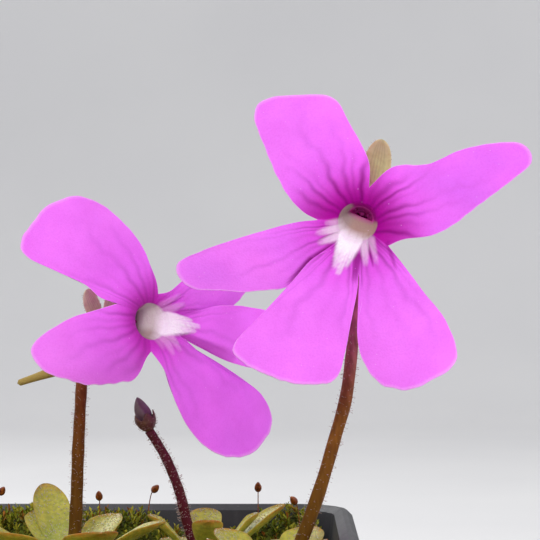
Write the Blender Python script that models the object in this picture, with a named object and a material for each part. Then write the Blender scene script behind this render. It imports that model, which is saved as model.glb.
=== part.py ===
# A butterwort clump in flower, in a small square plastic pot: three leaf rosettes
# growing in moss, two open flowers on bare stalks and one closed bud.
# Blender units are metres. Sizes below are in millimetres and are multiplied by MM
# when a mesh is made. +Z is up, +Y points away from the side that the front flower
# faces, and the origin is the centre of the pot's base.

import math

import bmesh
import bpy
import numpy as np

MM = 0.001
CLEAR = 0.3                     # air left between pieces that touch on the real plant
WELD = 0.003                    # points closer than this after a cut or a join are one point
BLADE = 0.7                     # thickness of every petal, sepal and leaf blade

# The pot: a square nursery pot with rounded corners that widens towards its rim.
POT_TOP = 70.0
POT_BASE = 52.0
POT_HEIGHT = 65.0
POT_CORNER = 8.0
POT_WALL = 1.4
POT_FLOOR = 1.8
RIM_HEIGHT = 7.0
RIM_STEP = 1.0                  # how far the rim band stands out from the wall
BAND_SLOPE = 1.2                # height of the slope under the band
EDGE = 0.7                      # rounding of the pot's lip and foot
DRAIN_RADIUS = 1.9
DRAIN_OFFSET = 15.0
DRAIN_SIDES = 10

SOIL_TOP = 56.0
SOIL_RELIEF = 0.35
MOSS_BACK = 5.0                 # extra height of the moss mound along the back wall
MOSS_LUMP = 0.75
BED_POINTS = (4, 8)             # points along each corner and each side of a bed
BED_CORNER = 5.0
SOIL_RINGS = 6
MOSS_RINGS = 12
MOSS_RING = 3.2                 # bare ring between a crown and the moss

# Crowns: name, x, y, longest leaf, leaves in its outer and inner ring, and the bearing
# of the first leaf in degrees.
CROWNS = {
    "rosette_front": (24.8, -7.3, 19.0, 7, 5, 250.0),
    "rosette_left": (-1.6, 6.3, 24.0, 8, 6, 142.0),
    "rosette_back": (15.7, 18.4, 13.0, 6, 4, 62.0),
}
CROWN_SIDES = 14
CROWN_RADIUS = 3.4
CROWN_TOP = 61.4
CROWN_FOOT_REACH = 2.1          # where a leaf leaves the crown's middle
ROOT_DEPTH = 10.0
LEAF_ROOT_Z = 58.1
LEAF_TIP_Z = 60.7
TIP_LIFT = 0.06                 # extra tip height for each millimetre of leaf
INNER_ROOT_Z = 60.1
INNER_TIP_Z = 64.4
LEAF_SHAPE = 0.56               # width of a leaf over its length
LEAF_ARCH = 0.5                 # how far a leaf arches above a straight line
LEAF_ROLL = 0.8                 # how far its side margins turn up
SHORTEST_LEAF = 6.0
INNER_SHARE = 0.62              # an inner leaf's length over the longest leaf's
INNER_TURN = 31.0               # bearing of the inner ring from the outer one
LEAF_STEP = 0.07                # each leaf starts this much above the one before

# Half-standing leaves whose tips rise past the rim: bearing, length and rise.
TALL_LEAVES = {
    "rosette_left": (106.0, 14.0, 9.3),
    "rosette_back": (10.0, 10.5, 6.5),
}
TALL_WIDTH = 5.6

SCAPE_RADIUS = 0.72
BUD_SCAPE_RADIUS = 0.62
SCAPE_SIDES = 8
SCAPE_POINTS = 18
SCAPE_TAPER = (1.18, 0.95)      # radius at the foot and under the flower, over SCAPE_RADIUS
STALK_OF = {"rosette_front": "scape_front", "rosette_left": "scape_left", "rosette_back": "scape_bud"}

# Stalk centre lines, from the crown up to the back of the calyx.
SCAPES = {
    "scape_front": ((25.0, -7.2, 58.0), (26.2, -7.2, 61.5), (27.9, -7.0, 65.4), (30.1, -6.5, 71.5),
                    (31.9, -5.5, 77.5), (33.2, -4.0, 82.0), (34.0, -1.8, 87.5), (34.6, 0.5, 93.5),
                    (35.1, 2.0, 98.5), (35.7, 2.6, 102.4), (36.2, 1.9, 104.8), (36.4, 0.6, 105.6),
                    (36.27, -0.8, 105.76)),
    "scape_left": ((-1.5, 6.5, 58.0), (-0.8, 7.6, 62.5), (-0.5, 8.4, 68.0), (-0.4, 9.8, 74.0),
                   (-0.3, 12.2, 79.5), (-0.2, 14.6, 84.0), (0.0, 15.8, 87.0), (0.6, 15.7, 89.1),
                   (1.1, 14.6, 89.9), (1.77, 13.65, 90.13)),
    "scape_bud": ((15.6, 18.4, 58.0), (14.6, 18.1, 60.5), (13.3, 17.9, 64.0), (12.2, 17.7, 68.4),
                  (10.7, 17.4, 72.3), (9.4, 17.1, 74.7), (8.51, 16.92, 76.11)),
}

# Each flower: throat, yaw and pitch of its face, roll, the spur's middle line in the
# flower's frame (right, up, out), and its lobes. A lobe has the bearing of its middle
# line, its length, how far its tip falls back, how much its sides fall back, its twist,
# and its outline from notch to notch, anticlockwise, as (right, up).
THROAT_RADIUS = 2.4
LIP_DEPTH = 0.9                 # how far the limb sinks at the throat
FLOWERS = {
    "front": {
        "throat": (34.4, -10.0, 103.5),
        "yaw": -4.0,
        "pitch": 3.0,
        "roll": -24.0,
        "spur": ((0.0, -0.4, -4.6), (-0.4, -2.3, -7.6), (-1.8, -4.2, -12.5), (-3.0, -6.0, -18.0),
                 (-3.6, -8.6, -23.0)),
        "lobes": (
            (139, 17.5, 4.2, -2.4, 0.8,
             ((-0.4, 4.3), (-1.9, 7.3), (-5.7, 10.4), (-9.0, 12.6), (-13.2, 11.3), (-16.7, 9.0),
              (-17.1, 6.9), (-14.5, 4.2), (-10.4, 0.5), (-6.8, -1.4), (-4.4, -1.7))),
            (208, 22.0, 3.2, -2.0, 0.8,
             ((-4.4, -1.7), (-7.1, -3.3), (-11.6, -6.9), (-15.8, -10.7), (-17.9, -13.4),
              (-15.8, -15.4), (-11.8, -14.2), (-7.5, -12.3), (-4.1, -10.1), (-3.0, -7.1),
              (-1.6, -4.4))),
            (270, 20.5, -1.4, -2.2, 0.0,
             ((-1.6, -4.4), (-3.1, -6.2), (-4.2, -9.6), (-5.9, -14.7), (-7.4, -19.0),
              (-6.5, -20.7), (-1.8, -20.8), (2.8, -20.1), (5.3, -18.0), (5.0, -14.7),
              (4.2, -11.2), (3.3, -7.4), (2.6, -5.5))),
            (310, 20.5, -0.6, -2.2, 0.5,
             ((2.6, -5.5), (4.3, -8.2), (5.2, -11.7), (7.4, -14.8), (10.9, -16.5), (14.8, -14.7),
              (17.4, -10.4), (14.6, -6.6), (10.4, -4.3), (7.2, -2.5), (4.5, -1.1))),
            (45, 21.5, 4.4, -2.4, 1.2,
             ((4.5, -1.1), (5.9, 0.4), (9.3, 2.8), (12.3, 7.8), (14.7, 12.3), (16.0, 15.4),
              (13.3, 16.6), (8.1, 13.4), (5.0, 10.0), (1.2, 7.8), (-0.4, 4.3))),
        ),
    },
    "left": {
        "throat": (9.5, 8.0, 91.1),
        "yaw": 36.0,
        "pitch": 10.0,
        "roll": 78.0,
        "spur": ((0.0, -0.4, -4.6), (-0.3, -2.3, -7.6), (-1.6, -2.0, -12.5), (-3.4, 0.6, -18.5),
                 (-5.7, 4.7, -25.0)),
        "lobes": (
            (120, 17.0, 5.0, -2.0, 0.0,
             ((1.2, 5.4), (0.1, 7.7), (-1.5, 10.9), (-4.1, 13.9), (-6.3, 14.8), (-8.4, 12.6),
              (-9.2, 7.7), (-8.1, 2.4), (-7.2, 1.1), (-5.1, 0.7), (-4.0, 0.1))),
            (210, 20.0, 1.0, -2.2, 0.5,
             ((-4.0, 0.1), (-6.4, -2.4), (-9.8, -4.4), (-13.0, -7.1), (-15.0, -10.6),
              (-14.9, -15.6), (-11.6, -20.9), (-7.9, -23.1), (-5.3, -20.2), (-4.1, -12.9),
              (-2.9, -8.0), (-1.5, -4.6))),
            (270, 20.0, -0.6, -2.2, 0.0,
             ((-1.5, -4.6), (-2.4, -7.7), (-3.4, -12.5), (-3.1, -17.5), (-0.9, -20.5),
              (2.1, -20.7), (4.4, -18.6), (4.5, -14.2), (3.7, -9.3), (1.9, -5.3))),
            (318, 17.0, 2.0, -2.0, 0.0,
             ((1.9, -5.3), (3.4, -9.4), (4.8, -13.2), (7.5, -15.8), (10.1, -16.7), (10.8, -14.2),
              (9.1, -9.3), (6.2, -4.3), (4.2, -2.0), (3.5, -0.3))),
            (55, 18.0, 5.0, -2.0, 0.0,
             ((3.5, -0.3), (6.2, 0.4), (9.4, 1.2), (12.4, 3.2), (14.9, 6.3), (15.1, 10.4),
              (12.7, 14.1), (8.4, 16.9), (6.0, 16.7), (4.4, 13.2), (3.1, 9.5), (1.7, 7.5),
              (1.2, 5.4))),
        ),
    },
}
RIBS_PER_LOBE = 14
RIB_STATIONS = (0.0, 0.16, 0.38, 0.62, 0.84, 1.0)
SPUR_SIDES = 14
SPUR_POINTS = 9
SPUR_RADII = (2.15, 1.6, 1.05, 0.72, 0.42)
SPUR_SHARES = (0.0, 0.15, 0.35, 0.75, 1.0)
# Circles of the tube, outside and inside, as radius, up and out.
TUBE_OUTSIDE = ((2.65, 0.05, -3.0), (2.95, 0.0, -2.1))
TUBE_INSIDE = ((2.05, 0.15, -1.7), (1.75, 0.2, -3.0), (1.2, 0.1, -4.2))
TUBE_END = (0.0, 0.1, -4.4)

# The calyx: a small cup behind the tube, and sepals as bearing, reach, half width and
# how far each rises towards the lobes.
CUP_CENTRE = (0.0, 3.0, -7.2)
CUP_SIDES = 14
CUP_SHAPE = ((0.55, -1.5), (1.15, -1.1), (1.5, -0.3), (1.35, 0.5), (0.8, 0.95))
CUP_ENDS = (-1.6, 1.0)
SEPAL_ROOT = 0.6                # where a sepal leaves the cup's middle
SEPAL_STEP = 0.07               # each sepal starts this much above the one before
SEPAL_FOLD = 0.25               # how far its sides turn back
UPPER_SEPAL = {"front": (102, 7.0, 1.6, 3.6), "left": (55, 5.0, 1.3, 2.3)}
SEPALS = ((193, 5.2, 1.2, 1.5), (226, 4.6, 1.0, 0.8), (314, 4.6, 1.0, 0.8), (350, 5.8, 1.2, 1.5))

# The ovary, style and stigma as radius and out, on a line a little above the middle.
PISTIL_SHAPE = ((0.35, -3.75), (0.62, -3.5), (0.66, -3.2), (0.4, -2.85), (0.26, -2.6), (0.55, -2.45),
                (0.5, -2.2))
PISTIL_ENDS = (-3.85, -2.1)
PISTIL_UP = 0.45
PISTIL_SIDES = 10

BUD_BASE = (8.44, 16.9, 76.3)
BUD_TILT = (-0.35, -0.1, 0.93)
BUD_LENGTH = 4.1
BUD_RADIUS = 0.95
BUD_SIDES = 20
BUD_START = 0.75                # height of the petals' foot above the bud's base
BUD_FOLD = 0.10
BUD_LOBES = 5
TOOTH_LENGTH = 0.8
# The bud's cup as radius and height, outside and inside.
BUD_CUP_OUTSIDE = ((0.4, 0.15), (0.8, 0.45), (1.2, 0.95), (1.5, 1.6))
BUD_CUP_INSIDE = ((1.22, 1.6), (0.95, 1.0))
BUD_CUP_LIP = ((1.55, 1.8), (1.28, 1.8))
BUD_CUP_ENDS = (0.1, 0.55)


def make_material(name, colour, roughness):
    """A plain plastic or plant finish with one colour."""
    material = bpy.data.materials.get(name) or bpy.data.materials.new(name)
    material.use_nodes = True
    shader = material.node_tree.nodes["Principled BSDF"]
    shader.inputs["Base Color"].default_value = (*colour, 1.0)
    shader.inputs["Roughness"].default_value = roughness
    shader.inputs["Metallic"].default_value = 0.0
    return material


FINISHES = {
    "pot": ((0.035, 0.036, 0.038), 0.55),
    "soil": ((0.035, 0.024, 0.017), 0.95),
    "moss": ((0.16, 0.19, 0.02), 0.9),
    "leaf": ((0.30, 0.34, 0.08), 0.4),
    "scape": ((0.16, 0.055, 0.02), 0.5),
    "bud_scape": ((0.09, 0.012, 0.02), 0.5),
    "petal": ((0.80, 0.14, 0.90), 0.55),
    "sepal": ((0.36, 0.29, 0.14), 0.6),
    "bud": ((0.30, 0.20, 0.24), 0.6),
    "pistil": ((0.55, 0.55, 0.35), 0.5),
}


def new_object(name, points, faces, finish):
    """Puts points (millimetres) and faces into a named object at the origin."""
    mesh = bpy.data.meshes.new(name)
    mesh.from_pydata((np.asarray(points, dtype=float) * MM).tolist(), [], faces)
    mesh.materials.append(make_material(finish, *FINISHES[finish]))
    mesh.update()
    mesh.shade_smooth()
    mesh.set_sharp_from_angle(angle=math.radians(40.0))
    piece = bpy.data.objects.new(name, mesh)
    bpy.context.scene.collection.objects.link(piece)
    return piece


def boolean(piece, operation, others, solver="EXACT"):
    """Joins the others to the piece, or cuts them from it, and removes them."""
    group = bpy.data.collections.new(piece.name + "_tools")
    bpy.context.scene.collection.children.link(group)
    for other in others:
        bpy.context.scene.collection.objects.unlink(other)
        group.objects.link(other)
    modifier = piece.modifiers.new("join", "BOOLEAN")
    modifier.operation = operation
    modifier.operand_type = "COLLECTION"
    modifier.collection = group
    modifier.solver = solver
    bpy.context.view_layer.update()
    shape = bpy.data.meshes.new_from_object(piece.evaluated_get(bpy.context.evaluated_depsgraph_get()))
    piece.modifiers.remove(modifier)
    work = bmesh.new()
    work.from_mesh(shape)
    bmesh.ops.remove_doubles(work, verts=work.verts, dist=WELD * MM)
    work.to_mesh(shape)
    work.free()
    piece.data = shape
    for other in list(group.objects):
        bpy.data.objects.remove(other)
    bpy.data.collections.remove(group)
    return piece


def smooth_step(value):
    """Rises from 0 to 1 with level ends as value goes from 0 to 1."""
    value = np.clip(value, 0.0, 1.0)
    return value * value * (3.0 - 2.0 * value)


def through(points, count):
    """count points, evenly spaced, on a smooth curve through the given ones."""
    knots = np.asarray(points, dtype=float)
    padded = np.vstack([2 * knots[0] - knots[1], knots, 2 * knots[-1] - knots[-2]])
    steps = np.linspace(0.0, 1.0, 12, endpoint=False)[:, None]
    curve = []
    for a, b, c, d in zip(padded, padded[1:], padded[2:], padded[3:]):
        curve.append(0.5 * (2 * b + (c - a) * steps + (2 * a - 5 * b + 4 * c - d) * steps ** 2
                            + (3 * b - a - 3 * c + d) * steps ** 3))
    curve = np.vstack(curve + [knots[-1:]])
    run = np.concatenate([[0.0], np.cumsum(np.linalg.norm(np.diff(curve, axis=0), axis=1))])
    wanted = np.linspace(0.0, run[-1], count)
    return np.stack([np.interp(wanted, run, curve[:, k]) for k in range(curve.shape[1])], axis=1)


def skin(rings, start_pole=None, end_pole=None):
    """A closed skin over rings of points. Neighbouring rings have the same number of
    points, or one has a whole multiple of the other's. The first ring is the lowest
    when the points run anticlockwise seen from above."""
    points = np.vstack(rings)
    starts = np.cumsum([0] + [len(ring) for ring in rings])
    faces = []
    for k in range(len(rings) - 1):
        low, high = len(rings[k]), len(rings[k + 1])
        a, b = starts[k], starts[k + 1]
        count = max(low, high)
        for j in range(count):
            j2 = (j + 1) % count
            a1, a2 = a + j * low // count, a + j2 * low // count
            b1, b2 = b + j * high // count, b + j2 * high // count
            if a1 != a2:
                faces.append((a1, a2, b2))
            if b1 != b2:
                faces.append((a1, b2, b1))
    if start_pole is not None:
        points = np.vstack([points, start_pole])
        count = len(rings[0])
        faces += [(len(points) - 1, (j + 1) % count, j) for j in range(count)]
    if end_pole is not None:
        points = np.vstack([points, end_pole])
        count, first = len(rings[-1]), starts[-2]
        faces += [(len(points) - 1, first + j, first + (j + 1) % count) for j in range(count)]
    return points, [tuple(int(i) for i in face) for face in faces]


def blade(top, thickness=BLADE, down=(0.0, 0.0, -1.0)):
    """A closed blade: a grid of points and the same grid moved down by its thickness,
    split into triangles alike on both faces and joined round its edge."""
    rows, columns = top.shape[:2]
    low = top + thickness * np.asarray(down)
    points = np.vstack([top.reshape(-1, 3), low.reshape(-1, 3)])
    under = rows * columns
    faces = []
    for i in range(rows - 1):
        for j in range(columns - 1):
            a, b = i * columns + j, i * columns + j + 1
            c, d = a + columns, b + columns
            faces += [(a, c, d), (a, d, b)]
            faces += [(under + a, under + d, under + c), (under + a, under + b, under + d)]
    edge = [j for j in range(columns)] + [i * columns + columns - 1 for i in range(1, rows)]
    edge += [(rows - 1) * columns + j for j in range(columns - 2, -1, -1)]
    edge += [i * columns for i in range(rows - 2, 0, -1)]
    for p, q in zip(edge, edge[1:] + edge[:1]):
        faces += [(p, q, under + q), (p, under + q, under + p)]
    return points, faces


def tube(centres, radii, sides):
    """A closed round rod along a line of points, with its own radius at each."""
    centres = np.asarray(centres, dtype=float)
    along = np.gradient(centres, axis=0)
    along /= np.linalg.norm(along, axis=1)[:, None]
    side = np.cross(along[0], (0.3, 1.0, 0.2))
    turn = np.arange(sides) * 2 * math.pi / sides
    rings = []
    for centre, forward, radius in zip(centres, along, radii):
        side = side - forward * np.dot(side, forward)
        side /= np.linalg.norm(side)
        across = np.cross(forward, side)
        rings.append(centre + radius * (np.outer(np.cos(turn), side) + np.outer(np.sin(turn), across)))
    return skin(rings, centres[0], centres[-1])


def rounded_square(half, corner, arc=6, straight=4):
    """Points anticlockwise round a square with rounded corners: some along each
    corner's arc and some along each straight side."""
    inner = half - corner
    turn = np.radians(np.linspace(0.0, 90.0, arc))
    quarter = np.column_stack([inner + corner * np.cos(turn), inner + corner * np.sin(turn)])
    side = np.linspace(quarter[-1], (-quarter[-1][0], quarter[-1][1]), straight + 2)[1:-1]
    quarter = np.vstack([quarter, side])
    sides = [quarter]
    for k in range(3):
        quarter = np.column_stack([-quarter[:, 1], quarter[:, 0]])
        sides.append(quarter)
    return np.vstack(sides)


def pot_half(z, inset=0.0):
    """Half the pot's outer width at a height, less an inset."""
    return 0.5 * (POT_BASE + (POT_TOP - 2 * RIM_STEP - POT_BASE) * z / POT_HEIGHT) - inset


def flat_ring(half, corner, z):
    """A rounded square at one height."""
    ring = rounded_square(half, corner)
    return np.column_stack([ring, np.full(len(ring), z)])


def make_pot():
    """Walls turned over a rounded square, a rim band, a floor and eight drain holes."""
    band = POT_HEIGHT - RIM_HEIGHT
    half_top = 0.5 * POT_TOP
    foot_corner = POT_CORNER - 2.0
    outer = [(pot_half(0.0, EDGE), foot_corner - EDGE, 0.0), (pot_half(EDGE), foot_corner, EDGE),
             (pot_half(band), POT_CORNER - RIM_STEP, band),
             (half_top - 0.35 * RIM_STEP, POT_CORNER, band + 0.4 * BAND_SLOPE),
             (half_top, POT_CORNER, band + BAND_SLOPE), (half_top, POT_CORNER, POT_HEIGHT - EDGE),
             (half_top - EDGE, POT_CORNER - EDGE, POT_HEIGHT)]
    inner = [(half_top - POT_WALL, POT_CORNER - POT_WALL, POT_HEIGHT),
             (pot_half(POT_HEIGHT, POT_WALL), POT_CORNER - RIM_STEP - POT_WALL, POT_HEIGHT - EDGE),
             (pot_half(POT_FLOOR, POT_WALL), foot_corner - POT_WALL, POT_FLOOR)]
    rings = [flat_ring(*values) for values in outer + inner]
    pot = new_object("pot", *skin(rings, (0.0, 0.0, 0.0), (0.0, 0.0, POT_FLOOR)), "pot")
    drains = []
    for k in range(8):
        angle = math.radians(45.0 * k)
        reach = DRAIN_OFFSET * (1.0 if k % 2 == 0 else math.sqrt(2.0))
        x, y = reach * math.cos(angle), reach * math.sin(angle)
        line = ((x, y, -1.0), (x, y, POT_FLOOR + 1.0))
        radii = (DRAIN_RADIUS, DRAIN_RADIUS)
        drains.append(new_object("drain_%d" % k, *tube(line, radii, DRAIN_SIDES), "pot"))
    return boolean(pot, "DIFFERENCE", drains)


def beyond_leaves(x, y):
    """How far a place is outside the nearest rosette's leaves; less than 0 is inside."""
    spans = [np.hypot(x - values[0], y - values[1]) - 0.8 * values[2] for values in CROWNS.values()]
    return np.min(spans, axis=0)


def soil_height(x, y):
    """A nearly level top with slow waves."""
    waves = np.sin(0.45 * x + 0.3) * np.cos(0.38 * y) + 0.6 * np.sin(0.9 * x - 0.7 * y)
    return SOIL_TOP + SOIL_RELIEF * waves


def moss_height(x, y):
    """Thin round the crowns, a cushion away from them, highest along the back wall,
    with rounded lumps made of crossed waves."""
    away = smooth_step((beyond_leaves(x, y) + 2.5) / 9.0)
    back = smooth_step((y - 18.0) / 11.0) * smooth_step((beyond_leaves(x, y) + 1.5) / 5.0)
    lumps = np.abs(np.sin(0.62 * x + 0.9 * np.sin(0.31 * y)))
    lumps = lumps * np.abs(np.cos(0.55 * y + 0.7 * np.sin(0.4 * x)))
    return SOIL_TOP + 1.3 + 2.8 * away + MOSS_BACK * back + 2 * MOSS_LUMP * (0.3 + 0.7 * away) * lumps


def bed(name, half_low, z_low, height, finish, rings_across, wall_gap):
    """A solid that fills the pot from z_low up to a height function."""
    low = rounded_square(half_low, BED_CORNER, *BED_POINTS)
    rings = [np.column_stack([low, np.full(len(low), z_low)])]
    for share in np.linspace(1.0, 0.0, rings_across, endpoint=False):
        ring = rounded_square(1.0, BED_CORNER / half_low, *BED_POINTS) * share
        top = pot_half(SOIL_TOP, POT_WALL + wall_gap)
        x, y = ring[:, 0] * top, ring[:, 1] * top
        rings.append(np.column_stack([x, y, height(x, y)]))
    centre = (0.0, 0.0, float(height(np.zeros(1), np.zeros(1))[0]))
    return new_object(name, *skin(rings, (0.0, 0.0, z_low), centre), finish)


def make_soil():
    """The soil block, with one plain hole for each crown's short root."""
    half_low = pot_half(POT_FLOOR, POT_WALL + CLEAR + 0.4)
    soil = bed("soil", half_low, POT_FLOOR + CLEAR, soil_height, "soil", SOIL_RINGS, CLEAR + 0.1)
    holes = []
    for name, crown in CROWNS.items():
        x, y = crown[:2]
        line = ((x, y, SOIL_TOP - ROOT_DEPTH - CLEAR), (x, y, SOIL_TOP + 4.0))
        radius = CROWN_RADIUS + CLEAR
        holes.append(new_object("hole_" + name, *tube(line, (radius, radius), 16), "soil"))
    return boolean(soil, "DIFFERENCE", holes)


def make_moss():
    """The moss carpet on the soil, open round each crown."""
    floor = SOIL_TOP + 2 * SOIL_RELIEF + CLEAR
    half_low = pot_half(floor, POT_WALL + CLEAR + 0.1)
    moss = bed("moss", half_low, floor, moss_height, "moss", MOSS_RINGS, CLEAR)
    holes = []
    for name, crown in CROWNS.items():
        x, y = crown[:2]
        line = ((x, y, floor - 3.0), (x, y, floor + 12.0))
        radius = CROWN_RADIUS + MOSS_RING
        holes.append(new_object("ring_" + name, *tube(line, (radius, radius), 20), "moss"))
    return boolean(moss, "DIFFERENCE", holes)


def leaf_half_width(share, width):
    """Half width of a leaf: a narrow foot, widest past the middle, a blunt tip."""
    belly = 0.34 + 0.66 * np.sin(0.66 * math.pi * share ** 0.9) ** 1.3
    return 0.5 * width * belly * np.sqrt(1.05 - share ** 5)


def leaf_blade(x, y, bearing, length, width, foot_z, tip_z, arch, roll):
    """A leaf from its crown outwards: it arches between foot and tip, and its side
    margins roll upwards."""
    share = np.array([0.0, 0.22, 0.46, 0.70, 0.88, 0.97, 1.0])[:, None]
    across = np.array([-1.0, -0.5, 0.5, 1.0])[None, :]
    angle = math.radians(bearing)
    half = leaf_half_width(share, width)
    out = CROWN_FOOT_REACH + (length - CROWN_FOOT_REACH) * share - 0.16 * length * share ** 3 * across ** 2
    side = half * across * (1.0 - 0.10 * np.abs(across))
    height = foot_z + (tip_z - foot_z) * share ** 1.15 + arch * np.sin(math.pi * share)
    height = height + roll * np.abs(across) ** 2.5 * (0.35 + 0.65 * share)
    return np.stack([x + out * math.cos(angle) - side * math.sin(angle),
                     y + out * math.sin(angle) + side * math.cos(angle),
                     height + 0.0 * across], axis=-1)


def has_room(name, grid):
    """Whether a leaf stays in the pot, above the moss, and nearer to its own crown
    than to any other."""
    x, y, z = np.moveaxis(grid, -1, 0)
    spans = {crown: np.hypot(x - values[0], y - values[1]) for crown, values in CROWNS.items()}
    own = spans.pop(name)
    beyond = own > CROWN_RADIUS + MOSS_RING
    wall = pot_half(LEAF_TIP_Z, POT_WALL + 1.0)
    inside = max(np.max(np.abs(x)), np.max(np.abs(y))) < wall
    own_ground = np.all(own + 1.2 < np.min(list(spans.values()), axis=0))
    return inside and own_ground and np.all((z - BLADE - 4 * CLEAR > moss_height(x, y))[beyond])


def make_rosette(name):
    """Two rings of leaves round a short crown and its root, the inner ones smaller and
    more upright, with a plain socket for the flower stalk."""
    x, y, longest, outer, inner, first = CROWNS[name]
    root = ((0.9, -ROOT_DEPTH + 1.0), (CROWN_RADIUS - 0.6, -ROOT_DEPTH + 4.0), (CROWN_RADIUS, -2.0),
            (CROWN_RADIUS, 1.3), (CROWN_RADIUS - 0.2, 3.8), (CROWN_RADIUS - 1.1, CROWN_TOP - SOIL_TOP - 0.4))
    turn = np.arange(CROWN_SIDES) * 2 * math.pi / CROWN_SIDES
    rings = [np.column_stack([x + r * np.cos(turn), y + r * np.sin(turn), np.full(CROWN_SIDES, SOIL_TOP + z)])
             for r, z in root]
    foot, head = (x, y, SOIL_TOP - ROOT_DEPTH + 0.4), (x, y, CROWN_TOP)
    crown = new_object(name, *skin(rings, foot, head), "leaf")
    leaves = []
    for k in range(outer + inner):
        low = k < outer
        bearing = first + 360.0 * k / outer if low else first + INNER_TURN + 360.0 * (k - outer) / inner
        wanted = longest * (1.0 - 0.02 * k) if low else longest * (INNER_SHARE - 0.03 * (k - outer))
        foot_z, tip_z = (LEAF_ROOT_Z, LEAF_TIP_Z) if low else (INNER_ROOT_Z, INNER_TIP_Z)
        foot_z, tip_z = foot_z + LEAF_STEP * k, tip_z + (LEAF_STEP + 0.02) * k
        for length in np.arange(wanted, SHORTEST_LEAF, -0.5):
            grid = leaf_blade(x, y, bearing, length, LEAF_SHAPE * length + 0.6, foot_z,
                              tip_z + TIP_LIFT * length, LEAF_ARCH, LEAF_ROLL)
            if has_room(name, grid):
                leaves.append(new_object("blade_%d" % k, *blade(grid), "leaf"))
                break
    if name in TALL_LEAVES:
        bearing, length, rise = TALL_LEAVES[name]
        grid = leaf_blade(x, y, bearing, length, TALL_WIDTH, INNER_ROOT_Z + 0.5, INNER_ROOT_Z + rise,
                          LEAF_ARCH - 0.2, LEAF_ROLL)
        leaves.append(new_object("blade_tall", *blade(grid), "leaf"))
    boolean(crown, "UNION", leaves, "MANIFOLD")
    line = np.asarray(SCAPES[STALK_OF[name]][:2])
    start = line[0] + (line[0] - line[1]) * 0.25
    end = line[0] + (line[1] - line[0]) * 1.6
    radius = SCAPE_TAPER[0] * SCAPE_RADIUS + CLEAR
    socket = new_object("socket_" + name, *tube((start, end), (radius, radius), 12), "leaf")
    return boolean(crown, "DIFFERENCE", [socket])


def flower_axes(flower):
    """The flower's right, up and outward directions, from its yaw, pitch and roll."""
    yaw, pitch, roll = (math.radians(flower[key]) for key in ("yaw", "pitch", "roll"))
    out = np.array([math.sin(yaw) * math.cos(pitch), -math.cos(yaw) * math.cos(pitch), math.sin(pitch)])
    level = np.array([math.cos(yaw), math.sin(yaw), 0.0])
    upright = np.cross(out, level)
    right = level * math.cos(roll) + upright * math.sin(roll)
    return np.array([right, -level * math.sin(roll) + upright * math.cos(roll), out])


def place(flower, points):
    """Moves points from the flower's frame to the plant's."""
    return np.asarray(points) @ flower_axes(flower) + np.asarray(flower["throat"])


def limb_depth(x, y, axis, length, drop, cup, twist):
    """How far the face of a lobe stands out at (x, y): a rounded lip at the throat, a
    tip and sides that fall back, and a twist."""
    bearing = math.radians(axis)
    along = np.maximum(0.0, x * math.cos(bearing) + y * math.sin(bearing)) / length
    across = (-x * math.sin(bearing) + y * math.cos(bearing)) / length
    reach = np.hypot(x, y)
    lip = -LIP_DEPTH * np.exp(-(reach - THROAT_RADIUS) / LIP_DEPTH)
    form = -drop * along ** 1.6 + 4.0 * cup * across ** 2 + 2.0 * twist * across * along
    return lip + smooth_step((reach - 3.2) / 5.0) * form


def limb(flower, ring_radius, stations):
    """The five lobes as one grid: ribs that run from a ring round the throat to the
    outline, one list of points for each station along them."""
    rows = [[] for station in stations]
    for axis, length, drop, cup, twist, outline in flower["lobes"]:
        edge = through(outline, RIBS_PER_LOBE + 1)[:-1]
        start = math.atan2(outline[0][1], outline[0][0])
        sweep = (math.atan2(outline[-1][1], outline[-1][0]) - start) % (2 * math.pi)
        bearing = start + sweep * np.arange(RIBS_PER_LOBE) / RIBS_PER_LOBE
        foot = ring_radius * np.stack([np.cos(bearing), np.sin(bearing)], axis=1)
        for row, station in zip(rows, stations):
            flat = foot + (edge - foot) * station
            depth = limb_depth(flat[:, 0], flat[:, 1], axis, length, drop, cup, twist)
            row.append(np.column_stack([flat, depth]))
    return [np.vstack(row) for row in rows]


def make_corolla(name, flower):
    """Five lobes joined at their feet, a short hollow tube and a slender spur, as one
    skin: from the spur's tip along the outside to the edge of the lobes, and back over
    their faces into the throat."""
    back = limb(flower, THROAT_RADIUS + 0.7, RIB_STATIONS)
    face = limb(flower, THROAT_RADIUS, RIB_STATIONS)
    back = [row - (0.0, 0.0, BLADE) for row in back]
    count = len(face[0])
    turn = np.arctan2(face[0][:, 1], face[0][:, 0])
    few = turn[::count // SPUR_SIDES]

    def circle(centre, radius, lean, angles):
        """A circle in a plane turned from the flower's by the lean of the spur."""
        out = np.stack([np.cos(angles), np.sin(angles), np.zeros(len(angles))], axis=1) * radius
        forward = np.asarray(lean, dtype=float) / np.linalg.norm(lean)
        hinge = np.cross((0.0, 0.0, -1.0), forward)
        sine = np.linalg.norm(hinge)
        if sine > 1e-6:
            hinge = hinge / sine
            cosine = -forward[2]
            out = out * cosine + np.cross(hinge, out) * sine + np.outer(out @ hinge, hinge) * (1 - cosine)
        return np.asarray(centre) + out

    spur = through(flower["spur"], SPUR_POINTS)
    lean = np.gradient(spur, axis=0)
    radii = np.interp(np.linspace(0, 1, SPUR_POINTS), SPUR_SHARES, SPUR_RADII)
    rings = [circle(c, r, f, few) for c, r, f in zip(spur[::-1], radii[::-1], lean[::-1])]
    tip = spur[-1] + 0.35 * lean[-1] / np.linalg.norm(lean[-1])
    rings += [circle((0.0, up, z), radius, (0.0, 0.0, -1.0), few) for radius, up, z in TUBE_OUTSIDE]
    rings += back + face[::-1]
    rings += [circle((0.0, up, z), radius, (0.0, 0.0, -1.0), few) for radius, up, z in TUBE_INSIDE]
    points, faces = skin(rings, tip, TUBE_END)
    return new_object(name, place(flower, points), faces, "petal")


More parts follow.
